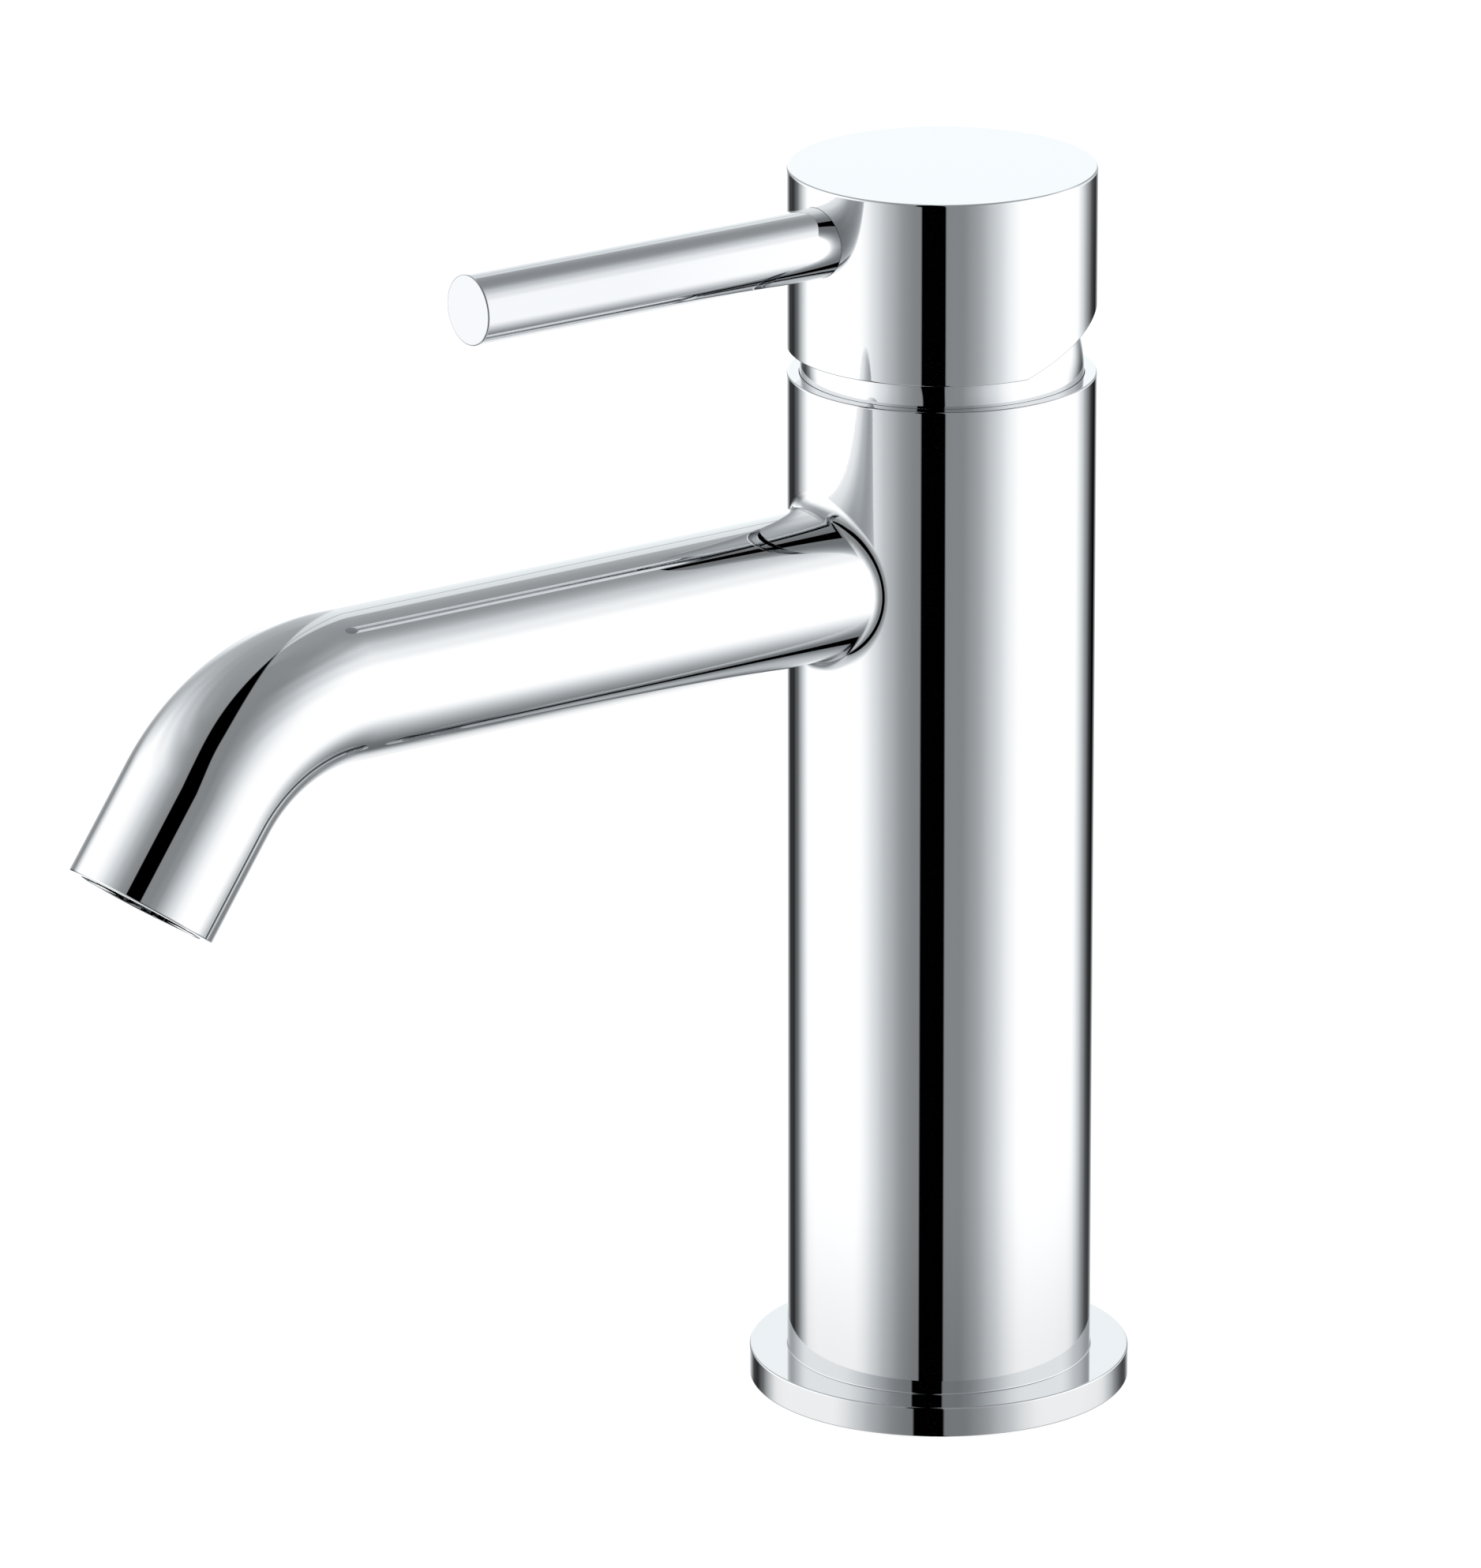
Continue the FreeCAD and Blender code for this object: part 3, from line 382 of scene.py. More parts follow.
@dataclass(frozen=True)
class Group:
    """A shader node group with named inputs and outputs, built once and shared."""

    name: str
    inputs: tuple[tuple[str, float], ...]
    outputs: tuple[str, ...]
    fill: Callable[[Tree, Node, Node], None]

    def tree(self) -> Tree:
        """Return the group's tree, making it on first use."""
        found = bpy.data.node_groups.get(self.name)
        if found:
            return found
        tree = bpy.data.node_groups.new(self.name, "ShaderNodeTree")
        for name, value in self.inputs:
            socket = tree.interface.new_socket(name, in_out="INPUT", socket_type="NodeSocketFloat")
            socket.default_value = value
        for name in self.outputs:
            tree.interface.new_socket(name, in_out="OUTPUT", socket_type="NodeSocketFloat")
        self.fill(tree, tree.nodes.new("NodeGroupInput"), tree.nodes.new("NodeGroupOutput"))
        return tree


def math_node(tree: Tree, kind: str, *values: object) -> Socket:
    """Add a Math node; a value is a number or a socket.

    Args:
        tree: the node tree.
        kind: the Math node's operation.
        values: its inputs in order.

    Returns:
        The node's result socket.
    """
    node = tree.nodes.new("ShaderNodeMath")
    node.operation = kind
    for socket, value in zip(node.inputs, values):
        if isinstance(value, Socket):
            tree.links.new(value, socket)
        else:
            socket.default_value = value
    return node.outputs[0]


def remap(tree: Tree, value: Socket, span: Sequence[float],
          onto: Sequence[float] = (0.0, 1.0), kind: str = "SMOOTHSTEP") -> Socket:
    """Map a value's span onto another one, smoothly by default, and return the result."""
    node = tree.nodes.new("ShaderNodeMapRange")
    node.interpolation_type = kind
    tree.links.new(value, node.inputs["Value"])
    for name, number in zip(("From Min", "From Max", "To Min", "To Max"), (*span, *onto)):
        node.inputs[name].default_value = number
    return node.outputs["Result"]


def noise(tree: Tree, place: Socket, scale: object,
          detail: float = 3.0) -> Socket:
    """Add a noise of the given scale (a number or a socket) at a place, and return its value."""
    node = tree.nodes.new("ShaderNodeTexNoise")
    node.inputs["Detail"].default_value = detail
    tree.links.new(place, node.inputs["Vector"])
    if isinstance(scale, Socket):
        tree.links.new(scale, node.inputs["Scale"])
    else:
        node.inputs["Scale"].default_value = scale
    return node.outputs["Fac"]


def object_place(tree: Tree) -> Socket:
    """Return the Object texture coordinate."""
    return tree.nodes.new("ShaderNodeTexCoord").outputs["Object"]


def fill_polish(tree: Tree, given: Node, out: Node) -> None:
    """Polishing haze: broad soft patches plus fine grain, and a faint height for the bump.

    The third output is 1 high up and well in front of the axis, which is the lever alone. It is
    painted shade: it darkens the lever's colour as a correction of its tone; it stands for no film or
    wear.
    """
    place = object_place(tree)
    broad = noise(tree, place, given.outputs["Scale"], 2.0)
    fine = noise(tree, place, math_node(tree, "MULTIPLY", given.outputs["Scale"], 9.0), 4.0)
    mixed = math_node(tree, "ADD", math_node(tree, "MULTIPLY", broad, 0.7),
                      math_node(tree, "MULTIPLY", fine, 0.3))
    haze = remap(tree, mixed, (0.42, 0.72))
    gloss = math_node(tree, "MULTIPLY_ADD", haze, given.outputs["Haze"],
                      given.outputs["Roughness"])
    split = tree.nodes.new("ShaderNodeSeparateXYZ")
    tree.links.new(place, split.inputs[0])
    # Painted shade: 1 on the lever alone, which carries its colour towards the chrome's darker second
    # colour.
    lever_painted_shade = math_node(tree, "MULTIPLY", remap(tree, split.outputs[2], (0.160, 0.165)),
                        remap(tree, split.outputs[1], (-0.019, -0.055), (0.0, 1.0), "LINEAR"))
    tree.links.new(gloss, out.inputs["Roughness"])
    tree.links.new(broad, out.inputs["Height"])
    tree.links.new(lever_painted_shade, out.inputs["Tone"])


def fill_turned(tree: Tree, given: Node, out: Node) -> None:
    """Lathe marks: a sine of the distance from the Z axis plus height, broken up by noise."""
    place = object_place(tree)
    split = tree.nodes.new("ShaderNodeSeparateXYZ")
    tree.links.new(place, split.inputs[0])
    squares = [math_node(tree, "POWER", split.outputs[i], 2.0) for i in (0, 1)]
    radius = math_node(tree, "SQRT", math_node(tree, "ADD", *squares))
    depth = math_node(tree, "ADD", radius, split.outputs[2])
    wobble = math_node(tree, "MULTIPLY", noise(tree, place, 900.0, 2.0), 0.00012)
    phase = math_node(tree, "MULTIPLY", math_node(tree, "ADD", depth, wobble),
                      given.outputs["Marks per metre"])
    wave = math_node(tree, "SINE", math_node(tree, "MULTIPLY", phase, TURN))
    tarnish = remap(tree, noise(tree, place, 140.0, 5.0), (0.35, 0.75))
    rough = math_node(tree, "MULTIPLY_ADD", tarnish, given.outputs["Haze"],
                      given.outputs["Roughness"])
    tree.links.new(wave, out.inputs["Height"])
    tree.links.new(tarnish, out.inputs["Tarnish"])
    tree.links.new(rough, out.inputs["Roughness"])


def fill_moulded(tree: Tree, given: Node, out: Node) -> None:
    """Moulded skin: a fine spark-eroded grain, with slow flow lines in tone and gloss."""
    place = object_place(tree)
    grain = noise(tree, place, given.outputs["Grain"], 3.0)
    flow = remap(tree, noise(tree, place, 110.0, 4.0), (0.3, 0.7))
    rough = math_node(tree, "MULTIPLY_ADD", flow, given.outputs["Haze"],
                      given.outputs["Roughness"])
    tree.links.new(grain, out.inputs["Height"])
    tree.links.new(flow, out.inputs["Tone"])
    tree.links.new(rough, out.inputs["Roughness"])


POLISH = Group("polish_haze_and_lever_shade", (("Scale", 60.0), ("Haze", 0.02), ("Roughness", 0.02)),
               ("Roughness", "Height", "Tone"), fill_polish)
TURNED = Group("lathe_marks", (("Marks per metre", 4000.0), ("Haze", 0.12), ("Roughness", 0.2)),
               ("Roughness", "Height", "Tarnish"), fill_turned)
MOULDED = Group("moulded_skin", (("Grain", 2500.0), ("Haze", 0.1), ("Roughness", 0.35)),
                ("Roughness", "Height", "Tone"), fill_moulded)


@dataclass(frozen=True)
class Finish:
    """One finish: a Principled surface whose roughness and bump come from a shared group."""

    slot: Slot
    group: Group
    settings: tuple[tuple[str, float], ...]
    colour: tuple[float, float, float]
    second_colour: tuple[float, float, float] | None = None
    metallic: float = 0.0
    bump: float = 0.1
    bump_depth: float = 0.00002
    coat: float = 0.0
    subsurface: float = 0.0
    ior: float = 1.5

    def material(self) -> bpy.types.Material:
        """Return the finish's material, making it on first use."""
        name = self.slot.value
        made = bpy.data.materials.get("finish_" + name)
        if made:
            return made
        made = bpy.data.materials.new("finish_" + name)
        made.use_nodes = True
        tree = made.node_tree
        surface = tree.nodes["Principled BSDF"]
        surface.inputs["Metallic"].default_value = self.metallic
        surface.inputs["Coat Weight"].default_value = self.coat
        surface.inputs["Coat Roughness"].default_value = 0.08
        surface.inputs["Subsurface Weight"].default_value = self.subsurface
        surface.inputs["Subsurface Scale"].default_value = 0.0008
        surface.inputs["IOR"].default_value = self.ior
        surface.inputs["Base Color"].default_value = (*self.colour, 1.0)
        effect = tree.nodes.new("ShaderNodeGroup")
        effect.node_tree = self.group.tree()
        for key, value in self.settings:
            effect.inputs[key].default_value = value
        tree.links.new(effect.outputs["Roughness"], surface.inputs["Roughness"])
        bump = tree.nodes.new("ShaderNodeBump")
        bump.inputs["Strength"].default_value = self.bump
        bump.inputs["Distance"].default_value = self.bump_depth
        tree.links.new(effect.outputs["Height"], bump.inputs["Height"])
        tree.links.new(bump.outputs["Normal"], surface.inputs["Normal"])
        if self.second_colour:
            self._mix_colours(tree, effect, surface)
        return made

    def _mix_colours(self, tree: Tree, effect: Node, surface: Node) -> None:
        """Let the group's tone or tarnish carry the colour from the first to the second."""
        tone = "Tone" if "Tone" in effect.outputs else "Tarnish"
        mix = tree.nodes.new("ShaderNodeMix")
        mix.data_type = "RGBA"
        mix.inputs["A"].default_value = (*self.colour, 1.0)
        mix.inputs["B"].default_value = (*self.second_colour, 1.0)
        tree.links.new(effect.outputs[tone], mix.inputs["Factor"])
        tree.links.new(mix.outputs["Result"], surface.inputs["Base Color"])

    def dress(self, thing: bpy.types.Object) -> None:
        """Give the finish to every material slot of an object."""
        made = self.material()
        if not thing.material_slots:
            thing.data.materials.append(made)
        for slot in thing.material_slots:
            slot.material = made


FINISHES: dict[Slot, Finish] = {finish.slot: finish for finish in (
    # The chrome's second colour is painted shade, laid on the lever alone by the polish group's lever
    # mask.
    Finish(Slot.CHROME, POLISH, (("Scale", 70.0), ("Haze", 0.012), ("Roughness", 0.015)),
           (0.659, 0.67, 0.681), (0.585, 0.597, 0.612), metallic=1.0, bump=0.02,
           bump_depth=0.000005),
    Finish(Slot.BRASS, TURNED, (("Marks per metre", 4200.0), ("Haze", 0.15), ("Roughness", 0.2)),
           (0.80, 0.61, 0.30), (0.62, 0.43, 0.19), metallic=1.0, bump=0.35),
    Finish(Slot.STEEL, TURNED, (("Marks per metre", 6000.0), ("Haze", 0.12), ("Roughness", 0.22)),
           (0.64, 0.63, 0.62), (0.53, 0.52, 0.50), metallic=1.0, bump=0.3),
    Finish(Slot.CERAMIC, MOULDED, (("Grain", 4000.0), ("Haze", 0.06), ("Roughness", 0.1)),
           (0.88, 0.87, 0.82), (0.82, 0.80, 0.74), bump=0.05, coat=0.3, ior=1.76),
    Finish(Slot.WHITE_PLASTIC, MOULDED, (("Grain", 2600.0), ("Haze", 0.12), ("Roughness", 0.32)),
           (0.84, 0.84, 0.81), (0.77, 0.77, 0.73), bump=0.25, subsurface=0.15),
    Finish(Slot.GREY_PLASTIC, MOULDED, (("Grain", 2600.0), ("Haze", 0.12), ("Roughness", 0.34)),
           (0.40, 0.41, 0.42), (0.33, 0.34, 0.35), bump=0.25),
    Finish(Slot.RED_PLASTIC, MOULDED, (("Grain", 2400.0), ("Haze", 0.1), ("Roughness", 0.3)),
           (0.55, 0.05, 0.04), (0.43, 0.035, 0.03), bump=0.25, subsurface=0.05),
    Finish(Slot.RUBBER, MOULDED, (("Grain", 3200.0), ("Haze", 0.15), ("Roughness", 0.55)),
           (0.022, 0.022, 0.023), (0.05, 0.05, 0.05), bump=0.4),
)}


def place_piece(thing: bpy.types.Object, body: str, slot: Slot, *nodes: str) -> None:
    """Dress a new piece, set it on its body and let it stand for its CAD nodes.

    Args:
        thing: the finished piece.
        body: the CAD body it rides on.
        slot: its material slot.
        nodes: the CAD nodes that it stands for.
    """
    FINISHES[slot].dress(thing)
    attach(thing, body)
    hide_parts(*nodes)
    log.info("%s: %d triangles, rides on %s", thing.name, len(thing.data.polygons), body)


# ------------------------------------------------------------ column and spout

@dataclass(frozen=True)
class Column:
    """The cast column: wall, rim, seats, spigot and the blended neck for the spout."""

    radius: float = 22.0
    foot: float = 4.5
    bead: float = 0.16
    rim: float = 151.1
    edge: float = 0.25
    dome_seat_radius: float = 20.25
    dome_seat: float = 146.1
    nut_radius: float = 19.0
    nut_seat: float = 139.6
    cavity_radius: float = 19.2
    cavity_step: float = 8.0
    foot_cavity_radius: float = 18.2
    spigot: float = 0.3
    spigot_radius: float = 20.5
    ring_height: float = 2.4
    ring_half: float = 0.65
    ring_radius: float = 19.37
    neck_radius: float = 11.0
    neck_height: float = 123.6
    neck_end: float = 25.0
    neck_hole: float = 9.55
    blend: float = 2.3

    def build(self) -> bpy.types.Object:
        """Make the column's closed surface."""
        skin = Skin("column")
        self._wall(skin, self.radius, 1, (self.foot + self.bead, self.rim - self.edge),
                   self._contact_curve)
        self._wall(skin, self.cavity_radius, -1, (self.cavity_step, self.nut_seat),
                   lambda window: window.pipe_hole(self.neck_hole))
        turn_all(skin, self._top_runs())
        turn_all(skin, self._foot_runs())
        self._neck(skin)
        return skin.make()

    def _wall(self, skin: Skin, radius: float, side: int, ends: tuple[float, float],
              hole: Callable[[Window], Array]) -> None:
        """A round wall with a window for the neck: the rest of it is plain rows of columns."""
        window = Window(radius, self.neck_height)
        rows = window.rows
        beside = FULL_TURN[WINDOW_SPAN // 2:COLUMNS - WINDOW_SPAN // 2 + 1]
        for heights, angles in ((np.linspace(ends[0], rows[0], 9), FULL_TURN), (rows, beside),
                                (np.linspace(rows[-1], ends[1], 4), FULL_TURN)):
            points = np.stack([np.full_like(heights, radius), heights], 1)
            normals = np.broadcast_to([float(side), 0.0], points.shape)
            skin.add_grid(*UPRIGHT.turned(Run(points, normals), angles))
        window.fill(skin, hole(window), side)

    def _top_runs(self) -> list[Run]:
        """The rim, the dome's seat and the ring nut's bore."""
        return rounded([
            (self.radius, self.rim - 2.0 * self.edge, 0.0), (self.radius, self.rim, self.edge),
            (self.dome_seat_radius, self.rim, 0.1), (self.dome_seat_radius, self.dome_seat, 0.0),
            (self.nut_radius, self.dome_seat, 0.0), (self.nut_radius, self.nut_seat, 0.0),
            (self.cavity_radius, self.nut_seat, 0.0)])[1:]

    def _foot_runs(self) -> list[Run]:
        """The cavity's step, the spigot, its O-ring groove and the fine bead on the flange."""
        low, high = self.ring_height - self.ring_half, self.ring_height + self.ring_half
        return rounded([
            (self.cavity_radius, self.cavity_step, 0.0),
            (self.foot_cavity_radius, self.cavity_step, 0.0),
            (self.foot_cavity_radius, self.spigot, 0.15), (self.spigot_radius, self.spigot, 0.15),
            (self.spigot_radius, low, 0.0), (self.ring_radius, low, 0.0),
            (self.ring_radius, high, 0.0),
            (self.spigot_radius, high, 0.0), (self.spigot_radius, self.foot, 0.0),
            (self.radius + self.bead, self.foot, 0.0)]) + [
                arc((self.radius + self.bead, self.foot + self.bead), self.bead, -math.pi / 2.0,
                    -math.pi, -1, 6)]

    def _ball_path(self, angles: Array) -> Array:
        """Centres of a ball of the blend's radius that rolls in the crease round the neck.

        At the angle a round the neck the centre lies a blend radius outside both pipes:
        x = (neck + blend) cos a, z = height + (neck + blend) sin a and
        y = -sqrt((column + blend)^2 - x^2).
        """
        across = (self.neck_radius + self.blend) * np.cos(angles)
        depth = -np.sqrt((self.radius + self.blend) ** 2 - across ** 2)
        rise = self.neck_height + (self.neck_radius + self.blend) * np.sin(angles)
        return np.stack([across, depth, rise], -1)

    def _contact_curve(self, window: Window) -> Array:
        """Where the rolling ball touches the column, as (angle, height)."""
        centres = self._ball_path(window.pipe_angles)
        return np.stack([np.arcsin(centres[:, 0] / (self.radius + self.blend)), centres[:, 2]], 1)

    def _neck(self, skin: Skin) -> None:
        """The blend, the neck's outside, its end face and the spout's hole."""
        angles = Window(self.radius, self.neck_height).pipe_angles
        centres = self._ball_path(angles)
        spoke = np.stack([np.cos(angles), np.zeros_like(angles), np.sin(angles)], -1)
        to_column = -centres * np.array([1.0, 1.0, 0.0]) / (self.radius + self.blend)
        share = np.linspace(0.0, 1.0, 17)[:, None, None]
        ball = slerp(-spoke[None], to_column[None], share)
        skin.add_grid(centres[None] + self.blend * ball, -ball)
        axis_line = np.array([0.0, 0.0, self.neck_height])
        towards = np.array([0.0, 1.0, 0.0])

        def ring(radius: float, depth: Array | float) -> Array:
            """Points round the neck at a radius and a depth along Y."""
            return axis_line + radius * spoke + np.broadcast_to(depth, angles.shape)[:,
                                                                                     None] * towards

        hole_start = -np.sqrt(self.cavity_radius ** 2 - (self.neck_hole * np.cos(angles)) ** 2)
        outside = np.linspace(ring(self.neck_radius, centres[:, 1]),
                              ring(self.neck_radius, -self.neck_end), 4)
        skin.add_grid(outside, spoke[None])
        skin.add_grid(np.stack([ring(self.neck_radius, -self.neck_end),
                                ring(self.neck_hole, -self.neck_end)]),
                      np.array([0.0, -1.0, 0.0]))
        skin.add_grid(np.stack([ring(self.neck_hole, -self.neck_end),
                                ring(self.neck_hole, hole_start)]),
                      -spoke[None])


@dataclass(frozen=True)
class Spout:
    """The spout tube: level, then bent down, with the aerator's seat in its end."""

    radius: float = 11.0
    bore: float = 8.0
    height: float = 123.6
    root: float = 25.0
    spigot_start: float = 19.5
    spigot_radius: float = 9.5
    straight_end: float = 104.3
    bend_radius: float = 28.0
    bend: float = math.radians(55.0)
    tail: float = 16.8
    seat_radius: float = 9.25
    seat_depth: float = 14.0
    edge: float = 0.25
    bend_rows: int = 72

    @property
    def bend_start(self) -> float:
        """Distance along the tube at which the bend starts."""
        return self.straight_end - self.spigot_start

    @property
    def bend_end(self) -> float:
        """Distance along the tube at which the bend ends."""
        return self.bend_start + self.bend_radius * self.bend

    @property
    def length(self) -> float:
        """The whole centre line."""
        return self.bend_end + self.tail

    def centre_line(self, distance: Array) -> tuple[Array, Array, Array]:
        """Walk the centre line: straight, an arc of the bend radius, straight again.

        Args:
            distance: how far along, from the spigot's start.

        Returns:
            Centres, forward directions and upward directions, each (count, 3).
        """
        turned = np.clip((distance - self.bend_start) / self.bend_radius, 0.0, self.bend)
        before = np.minimum(distance, self.bend_start)
        after = np.maximum(distance - self.bend_end, 0.0)
        zero = np.zeros_like(turned)
        forward = np.stack([zero, -np.cos(turned), -np.sin(turned)], 1)
        upward = np.stack([zero, -np.sin(turned), np.cos(turned)], 1)
        centre = np.stack([zero, -self.spigot_start - before - self.bend_radius * np.sin(turned),
                           self.height - self.bend_radius * (1.0 - np.cos(turned))], 1)
        return centre + after[:, None] * forward, forward, upward

    def carried(self, run: Run) -> tuple[Array, Array]:
        """Carry a profile run of (radius, distance) round the centre line.

        point = centre + radius * (cos a * across + sin a * up), and the normal is the same
        mix for its radial part plus its part along the tube.
        """
        centre, forward, upward = self.centre_line(run.points[:, 1])
        cos, sin = np.cos(FULL_TURN)[None, :, None], np.sin(FULL_TURN)[None, :, None]
        spoke = cos * np.array([1.0, 0.0, 0.0]) + sin * upward[:, None, :]
        points = centre[:, None, :] + run.points[:, :1, None] * spoke
        normals = run.normals[:, :1, None] * spoke + run.normals[:, 1:, None] * forward[:, None, :]
        return points, normals

    def build(self) -> bpy.types.Object:
        """Make the spout's closed surface."""
        skin = Skin("spout_tube")
        start = self.root - self.spigot_start
        seat = self.length - self.seat_depth
        runs = rounded([
            (self.bore, 0.0, 0.0), (self.spigot_radius, 0.0, 0.2),
            (self.spigot_radius, start, 0.0),
            (self.radius, start, 0.0), (self.radius, self.length, self.edge),
            (self.seat_radius, self.length, 0.12), (self.seat_radius, seat, 0.0),
            (self.bore, seat, 0.0)],
            closed=True)
        bent = np.linspace(self.bend_start, self.bend_end, self.bend_rows + 1)
        for run in runs:
            low, high = run.points[:, 1].min(), run.points[:, 1].max()
            if low < self.bend_start < high:
                inside = bent[(bent > low) & (bent < high)]
                run = run.divided(np.concatenate([[low], inside, [high]]))
            skin.add_grid(*self.carried(run))
        return skin.make()


@dataclass(frozen=True)
class BaseFlange:
    """The round plate under the column."""

    radius: float = 27.5
    bore: float = 20.6
    thickness: float = 4.5
    groove_in: float = 22.5
    groove_out: float = 26.5
    groove_depth: float = 2.15
    edge: float = 0.25

    def build(self) -> bpy.types.Object:
        """Make the flange's closed surface."""
        skin = Skin("foot_flange")
        turn_all(skin, rounded([
            (self.bore, 0.0, 0.1), (self.groove_in, 0.0, 0.0),
            (self.groove_in, self.groove_depth, 0.0),
            (self.groove_out, self.groove_depth, 0.0), (self.groove_out, 0.0, 0.0),
            (self.radius, 0.0, self.edge), (self.radius, self.thickness, self.edge),
            (self.bore, self.thickness, 0.0)], closed=True))
        return skin.make()


@dataclass(frozen=True)
class DomeCover:
    """The ball-shaped neck under the cap, with its skirt and ring groove."""

    pivot: float = 151.1
    radius: float = 20.2
    inside: float = 18.7
    top: float = 14.0
    skirt: float = 146.1
    skirt_radius: float = 20.15
    ring_radius: float = 19.28
    ring_height: float = 148.4
    ring_half: float = 0.5

    def build(self) -> bpy.types.Object:
        """Make the dome: two concentric ball zones about the pivot, joined top and bottom."""
        low, high = self.ring_height - self.ring_half, self.ring_height + self.ring_half
        rise, fall = math.asin(self.top / self.radius), math.asin(self.top / self.inside)
        top = self.pivot + self.top
        edges = [self.radius * math.cos(rise), self.inside * math.cos(fall)]
        skin = Skin("neck_dome")
        turn_all(skin, [
            *rounded([(self.inside, self.pivot, 0.0), (self.inside, self.skirt, 0.0),
                      (self.skirt_radius, self.skirt, 0.0), (self.skirt_radius, low, 0.0),
                      (self.ring_radius, low, 0.0), (self.ring_radius, high, 0.0),
                      (self.skirt_radius, high, 0.0), (self.skirt_radius, self.pivot, 0.0),
                      (self.radius, self.pivot, 0.0)]),
            arc((0.0, self.pivot), self.radius, 0.0, rise, 1),
            line((edges[0], top), (edges[1], top)),
            arc((0.0, self.pivot), self.inside, fall, 0.0, -1)])
        return skin.make()


# -------------------------------------------------------------------- handle

@dataclass(frozen=True)
class Cap:
    """The round cap: hollow over the dome, sloped at the back, bored for lever and screw."""

    radius: float = 22.0
    low: float = 154.8
    top: float = 181.1
    edge: float = 0.35
    lip: float = 0.22
    cut_start: float = 1.5
    cut_slope: float = math.tan(math.radians(19.5))
    pivot: float = 151.1
    cavity: float = 20.6
    boss_radius: float = 6.0
    boss: float = 170.1
    socket_half: float = 4.05
    socket_top: float = 177.0
    lever_height: float = 173.3
    lever_socket: float = 5.05
    lever_root: float = 20.0
    stud_hole: float = 3.0
    stud_end: float = 12.0
    screw_height: float = 174.5
    screw_hole: float = 2.5
    plug_hole: float = 3.25
    plug_seat: float = 19.2
    lever_span: int = 12
    plug_span: int = 8

    def build(self) -> bpy.types.Object:
        """Make the cap's closed surface."""
        skin = Skin("handle_shell")
        self._wall(skin)
        self._underside(skin)
        self._stem_socket(skin)
        self._lever_bore(skin)
        return skin.make()

    def _window(self, height: float, span: int, facing: float) -> Window:
        """A window as wide as `span` of the wall's columns."""
        return Window(self.radius, height, facing, TURN * span / COLUMNS / 2.0, span)

    @property
    def lever_window(self) -> Window:
        """The window round the lever, at the front."""
        return self._window(self.lever_height, self.lever_span, 0.0)

    @property
    def plug_window(self) -> Window:
        """The window round the screw's plug, at the back."""
        return self._window(self.screw_height, self.plug_span, math.pi)

    def _columns(self, radius: float) -> Array:
        """Column angles, with the nearest column moved onto the slope's crease on each side."""
        angles = FULL_TURN.copy()
        crease = math.acos(self.cut_start / radius)
        index = self._crease()
        angles[index], angles[COLUMNS - index] = crease, TURN - crease
        return angles

    def _crease(self) -> int:
        """The index of the column on the crease."""
        return int(round(math.acos(self.cut_start / self.radius) / TURN * COLUMNS))

    def _underside_height(self, points: Array) -> Array:
        """The underside's height over a point: level in front, then rising towards the back."""
        return self.low + np.maximum(points[..., 1] + self.cut_start, 0.0) * self.cut_slope

    def _wall(self, skin: Skin) -> None:
        """The outside wall, its top edge and the top face."""
        angles = self._columns(self.radius)
        spoke = UPRIGHT.spokes(angles)
        foot = self._lip_centres()[0][:, 2]
        lever, plug = self.lever_window, self.plug_window
        levels = self._levels()
        shoulder = self.top - self.edge
        rows = np.stack([foot + share * (levels[0] - foot) for share in np.linspace(0.0, 1.0, 7)])
        self._rows_on_wall(skin, spoke, rows)
        self._window_band(skin, angles, levels, lever, plug)
        top_rows = np.stack([np.full_like(foot, height) for height in np.linspace(levels[-1],
                                                                                  shoulder, 3)])
        self._rows_on_wall(skin, spoke, top_rows)
        turn_all(skin,
                 rounded([(self.radius, shoulder - 1.0, 0.0), (self.radius, self.top, self.edge),
                                (0.0, self.top, 0.0)], count=8)[1:], angle=angles)

    def _rows_on_wall(self, skin: Skin, spoke: Array, heights: Array) -> None:
        """Rows of points on the wall at the given heights (rows, columns)."""
        points = self.radius * spoke[None] + heights[..., None] * UP
        skin.add_grid(points, spoke[None])

    def _window_band(self, skin: Skin, angles: Array, levels: Array, lever: Window,
                     plug: Window) -> None:
        """The wall at the height of the windows, column block by column block."""
        front, back = self.lever_span // 2, self.plug_span // 2
        middle = COLUMNS // 2
        blocks = ((np.r_[front:middle - back + 1], None),
                  (np.r_[middle + back:COLUMNS - front + 1], None),
                  (np.r_[0:front + 1], lever), (np.r_[COLUMNS - front:COLUMNS + 1], lever),
                  (np.r_[middle - back:middle + back + 1], plug))
        for index, window in blocks:
            spoke = UPRIGHT.spokes(angles[index])
            for chosen in self._level_blocks(levels, window):
                self._rows_on_wall(skin, spoke, np.repeat(chosen[:, None], len(index), 1))
        for window, hole in ((lever, self.lever_socket), (plug, self.plug_hole)):
            self._fill_window(skin, window, levels, hole)

    def _level_blocks(self, levels: Array, window: Window | None) -> list[Array]:
        """The levels below and above a window, or all of them where there is none."""
        if window is None:
            return [levels]
        low, high = window.rows[0] + WELD, window.rows[-1] - WELD
        blocks = [levels[levels <= low], levels[levels >= high]]
        return [block for block in blocks if len(block) > 1]

    def _fill_window(self, skin: Skin, window: Window, levels: Array, hole: float) -> None:
        """Fill a window whose sides carry every level of the wall."""
        border, pipe = self._border(window, levels)
        edge = np.stack([np.arcsin(hole * np.cos(pipe) / self.radius),
                         window.height + hole * np.sin(pipe)], 1)
        share = np.linspace(0.0, 1.0, 9)[:, None, None]
        mixed = (1.0 - share) * edge[None] + share * border[None]
        spoke = UPRIGHT.spokes(mixed[..., 0] + window.facing)
        skin.add_grid(self.radius * spoke + mixed[..., 1:] * UP, spoke)

